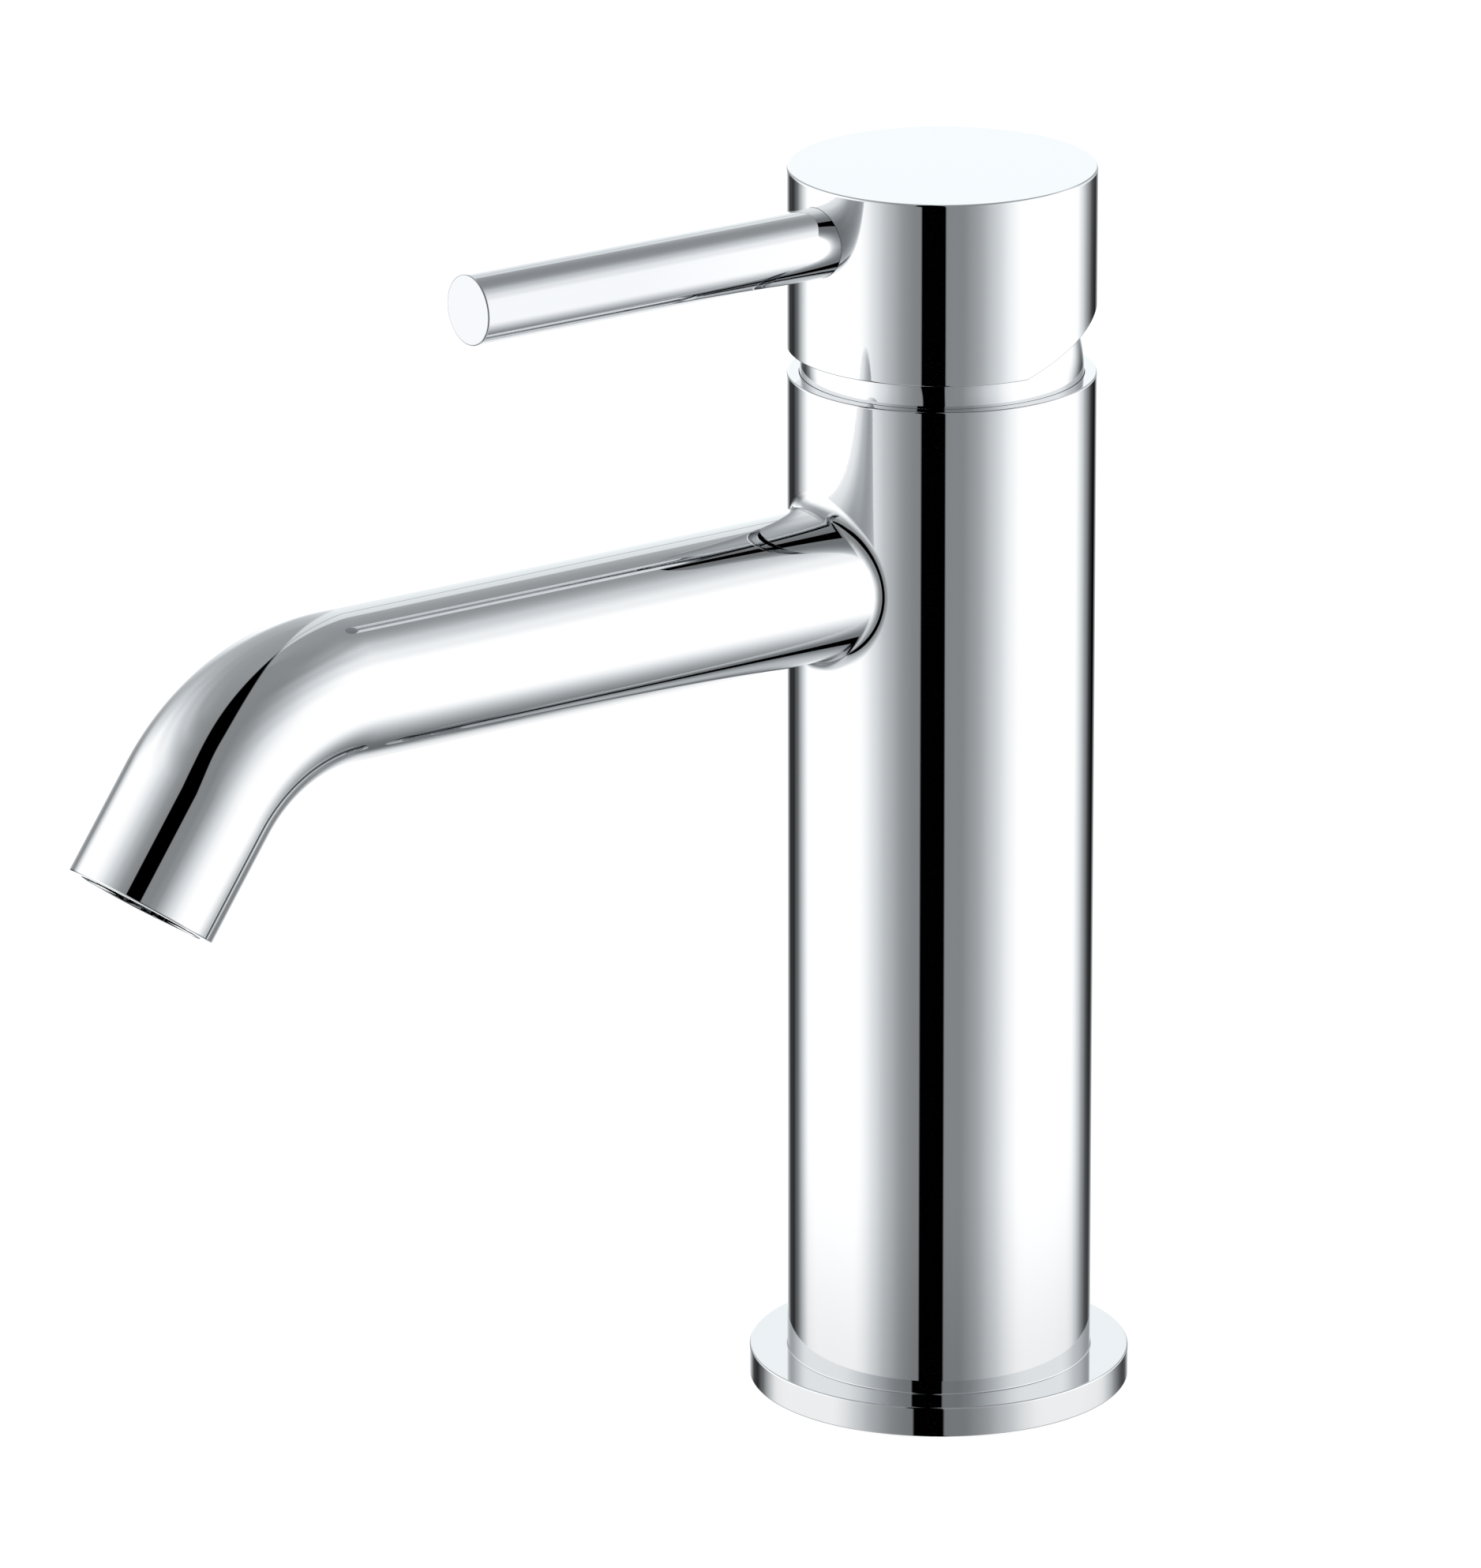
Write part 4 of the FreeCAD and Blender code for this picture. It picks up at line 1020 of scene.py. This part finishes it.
    def _border(self, window: Window, levels: Array) -> tuple[Array, Array]:
        """The window's border with a point at every level, and the angles round its pipe."""
        angle = np.linspace(-window.half_angle, window.half_angle, window.span + 1)
        low, high = window.rows[0], window.rows[-1]
        rows = levels[(levels >= low - WELD) & (levels <= high + WELD)]
        border = np.concatenate([
            np.stack([angle, np.full_like(angle, rows[0])], 1)[:-1],
            np.stack([np.full_like(rows, angle[-1]), rows], 1)[:-1],
            np.stack([angle[::-1], np.full_like(angle, rows[-1])], 1)[:-1],
            np.stack([np.full_like(rows, angle[0]), rows[::-1]], 1)])
        return border, np.arctan2(border[:, 1] - window.height, border[:, 0] * self.radius)

    def _lip_centres(self) -> tuple[Array, Array]:
        """Centres of the small round along the wall's lower edge, and the underside's normals.

        The centre lies a lip radius inside the wall and above the underside's plane; on the
        crease column the two planes' normals are averaged, so that the round stays closed.
        """
        angles = self._columns(self.radius)
        spoke = UPRIGHT.spokes(angles)
        inner = (self.radius - self.lip) * spoke
        steep = math.hypot(1.0, self.cut_slope)
        sloped = inner[:, 1] + self.cut_start > 1.0e-6
        level, slanted = np.array([0.0, 0.0, -1.0]), np.array([0.0, self.cut_slope, -1.0]) / steep
        down = np.where(sloped[:, None], slanted, level)
        crease = self._crease()
        both = (level + slanted) / np.linalg.norm(level + slanted)
        down[[crease, COLUMNS - crease]] = both
        inner[:, 2] = self._underside_height(inner) - self.lip / down[:, 2]
        return inner, down

    def _underside(self, skin: Skin) -> None:
        """The lower lip, the underside in two planes, and the round hollow up to the boss."""
        centres, down = self._lip_centres()
        spoke = UPRIGHT.spokes(self._columns(self.radius))
        share = np.linspace(0.0, 1.0, 6)[:, None, None]
        skin.add_grid(centres[None] + self.lip * slerp(spoke[None], down[None], share),
                      slerp(spoke[None], down[None], share))
        outer = centres + self.lip * down
        inner = self._cavity_edge()
        crease = self._crease()
        steep = math.hypot(1.0, self.cut_slope)
        planes = ((np.r_[COLUMNS - crease:COLUMNS + 1], (0.0, 0.0, -1.0)),
                  (np.r_[0:crease + 1], (0.0, 0.0, -1.0)),
                  (np.r_[crease:COLUMNS - crease + 1],
                   (0.0, self.cut_slope / steep, -1.0 / steep)))
        for index, normal in planes:
            skin.add_grid(np.stack([outer[index], inner[index]]), np.array(normal))
        self._hollow(skin, inner)

    def _cavity_edge(self) -> Array:
        """Where the underside meets the hollow's ball.

        In front, radius^2 = ball^2 - (low - pivot)^2. At the back the plane rises with the
        radius r as m + n r, so r solves (1 + n^2) r^2 + 2 m n r + m^2 - ball^2 = 0.
        """
        drop = self.low - self.pivot
        level = math.sqrt(self.cavity ** 2 - drop ** 2)
        angles = self._columns(level)
        away = -np.cos(angles)
        m = drop + self.cut_start * self.cut_slope
        n = away * self.cut_slope
        root = np.sqrt(m * m * n * n - (1.0 + n * n) * (m * m - self.cavity ** 2))
        reach = (-m * n + root) / (1.0 + n * n)
        radius = np.where(away * level + self.cut_start > 1.0e-6, reach, level)
        edge = radius[:, None] * UPRIGHT.spokes(angles)
        edge[:, 2] = self._underside_height(edge)
        return edge

    def _hollow(self, skin: Skin, edge: Array) -> None:
        """The ball: from the edge's polar angle to the boss's, along each column's meridian."""
        ball = (edge - np.array([0.0, 0.0, self.pivot])) / self.cavity
        steep = np.arccos(np.clip(ball[:, 2], -1.0, 1.0))
        boss = math.asin(self.boss_radius / self.cavity)
        share = np.linspace(0.0, 1.0, 22)[:, None]
        polar = (1.0 - share) * steep[None] + share * boss
        turn = self._columns(math.sqrt(self.cavity ** 2 - (self.low - self.pivot) ** 2))
        angles = (1.0 - share) * turn[None] + share * FULL_TURN[None]
        away = np.sin(polar)[..., None] * UPRIGHT.spokes(angles) + np.cos(polar)[..., None] * UP
        skin.add_grid(self.pivot * UP + self.cavity * away, -away)

    def _stem_socket(self, skin: Skin) -> None:
        """The boss, its square socket and the screw's bore from the back."""
        roof = self.pivot + math.sqrt(self.cavity ** 2 - self.boss_radius ** 2)
        turn_all(skin, [line((self.boss_radius, self.boss), (self.boss_radius, roof))])
        ring = self.boss_radius * UPRIGHT.spokes(FULL_TURN[:-1]) + np.array([0.0, 0.0, self.boss])
        half = self.socket_half
        corners = np.array([[-half, -half], [half, -half], [half, half], [-half, half]])
        low = np.column_stack([corners, np.full(4, self.boss)])
        high = np.column_stack([corners, np.full(4, self.socket_top)])
        skin.add_flat([ring, low], (0.0, 0.0, -1.0))
        skin.add_flat([high], (0.0, 0.0, -1.0))
        for i, normal in ((0, (0.0, 1.0, 0.0)), (1, (-1.0, 0.0, 0.0)), (3, (1.0, 0.0, 0.0))):
            j = (i + 1) % 4
            skin.add_flat([np.array([low[i], low[j], high[j], high[i]])], normal)
        turn = FULL_TURN[:-1]
        screw_axis = Axis((0.0, 0.0, self.screw_height), (1.0, 0.0, 0.0), (0.0, 0.0, 1.0),
                          (0.0, 1.0, 0.0))
        hole = screw_axis.turned(line((self.screw_hole, half), (self.screw_hole, self.plug_seat)),
                                 turn)[0]
        skin.add_flat([np.array([low[2], low[3], high[3], high[2]]), hole[0]], (0.0, -1.0, 0.0))
        turn_all(skin, [line((self.screw_hole, self.plug_seat), (self.screw_hole, half))],
                 screw_axis)
        levels = self._levels()
        _, pipe = self._border(self.plug_window, levels)
        self._pipe_from_wall(skin, pipe, self.plug_window, self.plug_hole, self.plug_seat)
        seat = np.stack([-self.plug_hole * np.cos(pipe[:-1]),
                         np.full(len(pipe) - 1, self.plug_seat),
                         self.screw_height + self.plug_hole * np.sin(pipe[:-1])], 1)
        skin.add_flat([seat, hole[-1]], (0.0, 1.0, 0.0))

    def _levels(self) -> Array:
        """Every height at which the wall has a row between the windows' ends."""
        return np.unique(np.round(np.concatenate([self.lever_window.rows, self.plug_window.rows]),
                                  9))

    def _pipe_from_wall(self, skin: Skin, pipe: Array, window: Window, radius: float,
                        depth: float) -> None:
        """A bore along Y from its curved mouth in the wall to a flat depth."""
        front = math.cos(window.facing)
        across = front * radius * np.cos(pipe)
        rise = window.height + radius * np.sin(pipe)
        mouth = np.stack([across, -front * np.sqrt(self.radius ** 2 - across ** 2), rise], 1)
        floor = np.stack([across, np.full_like(across, -front * depth), rise], 1)
        inward = np.stack([-front * np.cos(pipe), np.zeros_like(pipe), -np.sin(pipe)], 1)
        skin.add_grid(np.stack([mouth, floor]), inward[None])

    def _lever_bore(self, skin: Skin) -> None:
        """The lever's socket, and its stud's blind hole."""
        _, pipe = self._border(self.lever_window, self._levels())
        self._pipe_from_wall(skin, pipe, self.lever_window, self.lever_socket, self.lever_root)
        lever_axis = Axis((0.0, 0.0, self.lever_height), (1.0, 0.0, 0.0), (0.0, 0.0, 1.0),
                          (0.0, -1.0, 0.0))
        runs = [line((self.stud_hole, self.lever_root), (self.stud_hole, self.stud_end)),
                line((0.0, self.stud_end), (self.stud_hole, self.stud_end))]
        runs[1] = Run(runs[1].points, np.broadcast_to([0.0, 1.0], (2, 2)))
        runs[0] = Run(runs[0].points, np.broadcast_to([-1.0, 0.0], (2, 2)))
        turn_all(skin, runs, lever_axis, pipe)
        floor = Run(np.array([[self.lever_socket, self.lever_root],
                              [self.stud_hole, self.lever_root]]),
                    np.broadcast_to([0.0, 1.0], (2, 2)))
        turn_all(skin, [floor], lever_axis, pipe)


@dataclass(frozen=True)
class Lever:
    """The round lever and its stud."""

    height: float = 173.3
    radius: float = 5.0
    root: float = 20.0
    end: float = 81.6
    edge: float = 0.3
    stud: float = 2.95
    stud_end: float = 12.2

    def build(self) -> bpy.types.Object:
        """Turn the lever about its own level axis."""
        axis = Axis((0.0, 0.0, self.height), (1.0, 0.0, 0.0), (0.0, 0.0, 1.0), (0.0, -1.0, 0.0))
        skin = Skin("lever")
        turn_all(skin, rounded([
            (0.0, self.stud_end, 0.0), (self.stud, self.stud_end, 0.3),
            (self.stud, self.root, 0.0),
            (self.radius, self.root, 0.12), (self.radius, self.end, self.edge),
            (0.0, self.end, 0.0)],
            count=8), axis)
        return skin.make()


# -------------------------------------------------------------------- studio

@dataclass(frozen=True)
class Band:
    """The studio's lightness round the horizon at one elevation.

    Each stop is (turn from the front in degrees, lightness), where lightness runs evenly to
    the eye from 0, black, to 1, white, and the light is its 2.2nd power.
    """

    elevation: float
    stops: tuple[tuple[float, float], ...]

    def fill(self, ramp: bpy.types.ColorRamp) -> None:
        """Set a colour ramp's stops."""
        ramp.interpolation = "CARDINAL"
        elements = ramp.elements
        while len(elements) < len(self.stops):
            elements.new(1.0)
        for element, (turn, lightness) in zip(elements, self.stops):
            element.position = (turn + 180.0) / 360.0
            level = lightness ** EYE_POWER
            element.color = (level, level, level, 1.0)


@dataclass(frozen=True)
class Camera:
    """The camera: where it looks from, as turns about the object and a long lens."""

    turn: float = math.radians(53.935)
    elevation: float = math.radians(17.774)
    roll: float = math.radians(-0.128)
    distance: float = 1.69713
    aside: float = -0.028638
    height: float = 0.089595
    lens: float = 272.05
    sensor: float = 36.0

    def place(self) -> None:
        """Make the scene's camera."""
        back = Vector((math.sin(self.turn) * math.cos(self.elevation),
                       -math.cos(self.turn) * math.cos(self.elevation), math.sin(self.elevation)))
        right = Vector((math.cos(self.turn), math.sin(self.turn), 0.0))
        target = right * self.aside + Vector((0.0, 0.0, self.height))
        matrix = Matrix((right, back.cross(right),
                         back)).transposed() @ Matrix.Rotation(self.roll, 3, "Z")
        lens = bpy.data.cameras.new("camera")
        lens.lens = self.lens
        lens.sensor_width = self.sensor
        lens.clip_start = 0.05
        lens.clip_end = 60.0
        thing = bpy.data.objects.new("camera", lens)
        thing.matrix_world = Matrix.Translation(target + back * self.distance) @ matrix.to_4x4()
        bpy.context.scene.collection.objects.link(thing)
        bpy.context.scene.camera = thing


@dataclass(frozen=True)
class Studio:
    """A pale floor and a surround painted by direction: bands, a dark flag and a pale card.

    `bands` is a measured table of lightness by direction, not a designed light, and the
    flag, the card, the gain and the tints were set against the same measurements.
    """

    facing: float = math.radians(53.935)
    gain: float = 1.57
    flag_turn: float = math.radians(-7.05)
    flag_half_width: float = 0.151
    flag_bulge: float = 0.036
    flag_lean: tuple[float, float] = (-0.045, -0.03)
    card_half_width: float = 0.0995
    card_taper: float = 0.109
    card_lean: tuple[float, float] = (-0.038, -0.03)
    card_level: float = 0.976
    card_fall: float = 0.205
    card_tint: tuple[float, float, float] = (0.95, 0.985, 1.0)
    floor_size: float = 12.0
    floor_drop: float = 0.0002
    # The painted shadow on the floor that mirrored rays see: where it fades out and how dark it is at
    # the foot.
    painted_shadow_reach: tuple[float, float] = (0.022, 0.13)
    painted_shadow_level: float = 0.8
    tint: tuple[float, float, float] = (0.94, 0.975, 1.0)
    bands: tuple[Band, ...] = (
        Band(-52.0, ((-180, .90), (-160, .66), (-140, .52), (-120, .58), (-95, .80),
                     (-60, .80), (-30, .60), (0, .54), (30, .60), (56, .80), (78, .80),
                     (96, .69), (112, .55), (130, .46), (146, .54), (160, .89), (180, .92))),
        Band(-28.0, ((-180, .95), (-168, .80), (-154, .40), (-142, .42), (-122, .84),
                     (-106, 1.0), (-70, 1.0), (-50, .82), (-36, .64), (-20, .51), (8, .49),
                     (20, .54), (34, .70), (48, .86), (64, .98), (80, 1.0), (100, .97),
                     (116, .86), (134, .64), (146, .52), (156, .58), (168, .87), (180, .93))),
        Band(-17.0, ((-180, .98), (-168, .80), (-158, .36), (-150, .20), (-142, .28),
                     (-134, .53), (-122, .92), (-112, 1.0), (-68, 1.0), (-56, .90), (-46, .77),
                     (-34, .62), (-22, .51), (8, .51), (18, .54), (32, .69), (46, .86),
                     (58, .97), (68, 1.0), (112, 1.0), (122, .92), (132, .68), (142, .38),
                     (152, .11), (160, .29), (170, .75), (180, .98))),
        Band(-4.0, ((-180, .98), (-170, .86), (-160, .66), (-150, .50), (-142, .50),
                    (-132, .80), (-120, 1.0), (-68, 1.0), (-56, .92), (-44, .78), (-34, .63),
                    (-22, .51), (8, .51), (18, .56), (32, .74), (46, .89), (58, .98),
                    (68, 1.0), (124, 1.0), (136, .94), (146, .80), (156, .70), (168, .86),
                    (180, .98))),
        Band(13.0, ((-180, .95), (-172, .98), (-166, .90), (-159, .72), (-151, .68),
                    (-143, .78), (-134, .91), (-124, 1.0), (-72, 1.0), (-56, .90), (-42, .72),
                    (-26, .52), (8, .51), (17, .53), (25, .60), (40, .80), (52, .94),
                    (62, 1.0), (108, 1.0), (121, .89), (140, .74), (158, .62), (168, .80),
                    (180, .95))),
        Band(26.0, ((-180, .80), (-172, .71), (-154, .67), (-144, .74), (-134, .84),
                    (-124, .96), (-112, 1.0), (-86, 1.0), (-72, .94), (-56, .78), (-40, .60),
                    (-26, .51), (8, .51), (17, .52), (32, .66), (48, .835), (62, .96),
                    (76, 1.0), (106, 1.0), (121, .88), (140, .73), (158, .60), (168, .68),
                    (180, .72))),
        Band(38.0, ((-180, .7), (-165, .65), (-148, .66), (-136, .72), (-120, .85),
                    (-104, .92), (-88, .925), (-72, .86), (-56, .74), (-40, .6), (-26, .52),
                    (8, .51), (18, .515), (32, .61), (48, .75), (64, .87), (80, .92),
                    (100, .94), (150, .8), (166, .68), (180, .68))),
        Band(50.0, ((-180, .62), (-170, .61), (-140, .62), (-126, .67), (-110, .735),
                    (-94, .76), (-78, .73), (-62, .66), (-46, .575), (-30, .52), (8, .51),
                    (24, .52), (40, .6), (56, .69), (72, .755), (88, .8), (102, .74),
                    (118, .63), (140, .56), (156, .58), (168, .6), (180, .62))),
        Band(60.0, ((-180, .6), (-165, .59), (-130, .59), (-100, .61), (-84, .61), (-64, .57),
                    (-44, .535), (-24, .52), (8, .515), (40, .52), (60, .57), (80, .62),
                    (100, .61), (120, .56), (150, .56), (180, .6))),
        Band(72.0, ((-180, .58), (-165, .575), (-90, .56), (-40, .54), (8, .525), (50, .53),
                    (90, .535), (140, .56), (168, .575), (180, .58))),
    )

    def build(self) -> None:
        """Make the surround, the floor and the picture's plain view settings."""
        self._surround()
        self._floor()
        bpy.context.scene.view_settings.view_transform = "Standard"

    def _band_level(self, tree: Tree, turn: Socket, band: Band) -> Socket:
        """A ramp round the horizon for one band."""
        ramp = tree.nodes.new("ShaderNodeValToRGB")
        band.fill(ramp.color_ramp)
        tree.links.new(turn, ramp.inputs["Fac"])
        return ramp.outputs["Color"]

    def _surround(self) -> None:
        """Paint the world by direction: bands mixed by elevation, then the dark flag over them."""
        world = bpy.data.worlds.new("studio")
        bpy.context.scene.world = world
        world.use_nodes = True
        tree = world.node_tree
        tree.nodes.clear()
        split = tree.nodes.new("ShaderNodeSeparateXYZ")
        tree.links.new(tree.nodes.new("ShaderNodeTexCoord").outputs["Generated"], split.inputs[0])
        x, y, z = split.outputs
        ahead = math_node(tree, "SUBTRACT", math_node(tree, "MULTIPLY", x, math.sin(self.facing)),
                          math_node(tree, "MULTIPLY", y, math.cos(self.facing)))
        aside = math_node(tree, "ADD", math_node(tree, "MULTIPLY", x, math.cos(self.facing)),
                          math_node(tree, "MULTIPLY", y, math.sin(self.facing)))
        turn = math_node(tree, "MULTIPLY_ADD", math_node(tree, "ARCTAN2", aside, ahead),
                         1.0 / TURN, 0.5)
        level = self._band_level(tree, turn, self.bands[0])
        for below, band in zip(self.bands[:-1], self.bands[1:]):
            spans = (math.sin(math.radians(below.elevation)),
                     math.sin(math.radians(band.elevation)))
            mix = tree.nodes.new("ShaderNodeMix")
            mix.data_type = "RGBA"
            tree.links.new(remap(tree, z, spans), mix.inputs["Factor"])
            tree.links.new(level, mix.inputs["A"])
            tree.links.new(self._band_level(tree, turn, band), mix.inputs["B"])
            level = mix.outputs["Result"]
        across = math_node(tree, "SUBTRACT",
                           math_node(tree, "MULTIPLY", aside, math.cos(self.flag_turn)),
                           math_node(tree, "MULTIPLY", ahead, math.sin(self.flag_turn)))
        lit = math_node(tree, "SUBTRACT", 1.0, self._flag(tree, across, ahead, z))
        tinted = self._tinted(tree, level, remap(tree, level, (0.5, 0.95), (1.0, 0.0)), self.tint)
        tinted = self._with_card(tree, tinted.outputs["Result"],
                                 self._card(tree, across, ahead, z), z)
        shade = tree.nodes.new("ShaderNodeVectorMath")
        shade.operation = "SCALE"
        tree.links.new(tinted.outputs["Result"], shade.inputs[0])
        tree.links.new(math_node(tree, "MULTIPLY", lit, self.gain), shade.inputs["Scale"])
        painted, plain = tree.nodes.new("ShaderNodeBackground"), tree.nodes.new("ShaderNodeBackground")
        tree.links.new(shade.outputs[0], painted.inputs["Color"])
        plain.inputs["Color"].default_value = (1.0, 1.0, 1.0, 1.0)
        choose = tree.nodes.new("ShaderNodeMixShader")
        tree.links.new(tree.nodes.new("ShaderNodeLightPath").outputs["Is Camera Ray"],
                       choose.inputs["Fac"])
        tree.links.new(painted.outputs[0], choose.inputs[1])
        tree.links.new(plain.outputs[0], choose.inputs[2])
        tree.links.new(choose.outputs[0],
                       tree.nodes.new("ShaderNodeOutputWorld").inputs["Surface"])

    def _tinted(self, tree: Tree, level: Socket, share: Socket,
                tint: tuple[float, float, float]) -> Node:
        """Multiply a colour by a tint where the share is 1."""
        node = tree.nodes.new("ShaderNodeMix")
        node.data_type = "RGBA"
        node.blend_type = "MULTIPLY"
        tree.links.new(share, node.inputs["Factor"])
        tree.links.new(level, node.inputs["A"])
        node.inputs["B"].default_value = (*tint, 1.0)
        return node

    def _with_card(self, tree: Tree, level: Socket, share: Socket,
                   z: Socket) -> Node:
        """Lay the pale card over the bands: its lightness falls evenly with the height."""
        lightness = math_node(tree, "MULTIPLY_ADD", z, -self.card_fall, self.card_level)
        shade = tree.nodes.new("ShaderNodeVectorMath")
        shade.operation = "SCALE"
        shade.inputs[0].default_value = self.card_tint
        tree.links.new(math_node(tree, "POWER", lightness, EYE_POWER), shade.inputs["Scale"])
        node = tree.nodes.new("ShaderNodeMix")
        node.data_type = "RGBA"
        tree.links.new(share, node.inputs["Factor"])
        tree.links.new(level, node.inputs["A"])
        tree.links.new(shade.outputs[0], node.inputs["B"])
        return node

    def _flag(self, tree: Tree, across: Socket, ahead: Socket,
              z: Socket) -> Socket:
        """1 on the dark flag: an upright strip in front that narrows to a point past overhead.

        It is where the direction's part across the strip is within the half width of the
        strip's middle; the middle leans aside with the height.
        """
        middle = math_node(tree, "ADD", remap(tree, z, (-0.2, 0.35), (0.0, self.flag_lean[0])),
                           remap(tree, z, (0.7, 1.0), (0.0, self.flag_lean[1])))
        bulge = math_node(tree, "MULTIPLY", remap(tree, z, (-0.2, 0.3), (0.0, self.flag_bulge)),
                          remap(tree, z, (0.45, 0.7), (1.0, 0.0)))
        width = math_node(tree, "MULTIPLY", math_node(tree, "ADD", bulge, self.flag_half_width),
                          remap(tree, ahead, (-0.34, 0.70)))
        return self._within(tree, across, middle, width)

    def _card(self, tree: Tree, across: Socket, ahead: Socket,
              z: Socket) -> Socket:
        """1 on the pale card behind: a strip that narrows with the sixth power of the height."""
        power = math_node(tree, "POWER", math_node(tree, "MAXIMUM", z, 0.0), 6.0)
        middle = math_node(tree, "MULTIPLY_ADD", power, self.card_lean[1], self.card_lean[0])
        width = math_node(tree, "MULTIPLY_ADD", power, -self.card_taper, self.card_half_width)
        behind = math_node(tree, "MULTIPLY", remap(tree, ahead, (-0.05, -0.12)),
                           remap(tree, z, (0.1, 0.2)))
        return math_node(tree, "MULTIPLY", self._within(tree, across, middle, width), behind)

    def _within(self, tree: Tree, value: Socket, middle: Socket,
                width: Socket) -> Socket:
        """1 where a value is nearer to the middle than the width, with a narrow soft edge."""
        offset = math_node(tree, "ABSOLUTE", math_node(tree, "SUBTRACT", value, middle))
        return remap(tree, math_node(tree, "SUBTRACT", offset, width), (0.012, -0.012))

    def _floor(self) -> None:
        """A wide plain floor that glows softly, so that it stays pale round a faint shadow."""
        half = self.floor_size / 2.0
        mesh = bpy.data.meshes.new("studio_floor")
        corners = [(x, y, -self.floor_drop) for x,
                   y in ((-half, -half), (half, -half), (half, half), (-half, half))]
        mesh.from_pydata(corners, [], [(0, 1, 2, 3)])
        floor = bpy.data.objects.new("studio_floor", mesh)
        bpy.context.scene.collection.objects.link(floor)
        paper = bpy.data.materials.new("studio_paper")
        paper.use_nodes = True
        surface = paper.node_tree.nodes["Principled BSDF"]
        surface.inputs["Base Color"].default_value = (0.25, 0.25, 0.25, 1.0)
        surface.inputs["Roughness"].default_value = 1.0
        surface.inputs["Specular IOR Level"].default_value = 0.0
        surface.inputs["Emission Color"].default_value = (1.0, 1.0, 1.0, 1.0)
        surface.inputs["Emission Strength"].default_value = 0.9
        self._painted_foot_shadow(paper.node_tree, surface)
        mesh.materials.append(paper)

    def _painted_foot_shadow(self, tree: Tree, surface: Node) -> None:
        """Let mirrored rays through the floor to the surround, with a painted shadow that dims them
        near the foot.
        """
        split = tree.nodes.new("ShaderNodeSeparateXYZ")
        tree.links.new(object_place(tree), split.inputs[0])
        squares = [math_node(tree, "POWER", split.outputs[i], 2.0) for i in (0, 1)]
        radius = math_node(tree, "SQRT", math_node(tree, "ADD", *squares))
        # Painted shadow: mirrored rays are dimmed by their distance from the foot alone.
        clear = tree.nodes.new("ShaderNodeBsdfTransparent")
        tree.links.new(remap(tree, radius, self.painted_shadow_reach, (self.painted_shadow_level, 1.0)),
                       clear.inputs["Color"])
        choose = tree.nodes.new("ShaderNodeMixShader")
        tree.links.new(tree.nodes.new("ShaderNodeLightPath").outputs["Is Glossy Ray"],
                       choose.inputs["Fac"])
        tree.links.new(surface.outputs["BSDF"], choose.inputs[1])
        tree.links.new(clear.outputs["BSDF"], choose.inputs[2])
        tree.links.new(choose.outputs[0], tree.nodes["Material Output"].inputs["Surface"])


# ---------------------------------------------------------------------- main

def dress_inner_parts(record: dict, shown: dict[str, bpy.types.Object],
                      replaced: set[str]) -> None:
    """Give each CAD node that stays visible the finish of its slot.

    Args:
        record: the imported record.
        shown: the CAD nodes' objects by name.
        replaced: the nodes that new pieces stand for.
    """
    for part in record["subparts"]:
        name = part["node"]
        if name in replaced:
            continue
        FINISHES[Slot(part["material_slot"])].dress(shown[name])
        log.info("%s: finish %s", name, part["material_slot"])


def main() -> None:
    """Build the mixer's chrome shells, dress the rest, and set up the studio."""
    logging.basicConfig(level=logging.INFO, format="%(name)s: %(message)s")
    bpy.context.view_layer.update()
    Camera().place()
    Studio().build()
    place_piece(Column().build(), "mixer", Slot.CHROME, "mixer_body")
    place_piece(Spout().build(), "mixer", Slot.CHROME, "spout")
    place_piece(BaseFlange().build(), "mixer", Slot.CHROME, "base_flange")
    place_piece(DomeCover().build(), "mixer", Slot.CHROME, "dome_cover")
    place_piece(Cap().build(), "handle", Slot.CHROME, "handle_cap")
    place_piece(Lever().build(), "handle", Slot.CHROME, "lever_rod")
    replaced = {"mixer_body", "spout", "base_flange", "dome_cover", "handle_cap", "lever_rod"}
    dress_inner_parts(frame["record"], frame["nodes"], replaced)


if __name__ == "__main__":
    main()
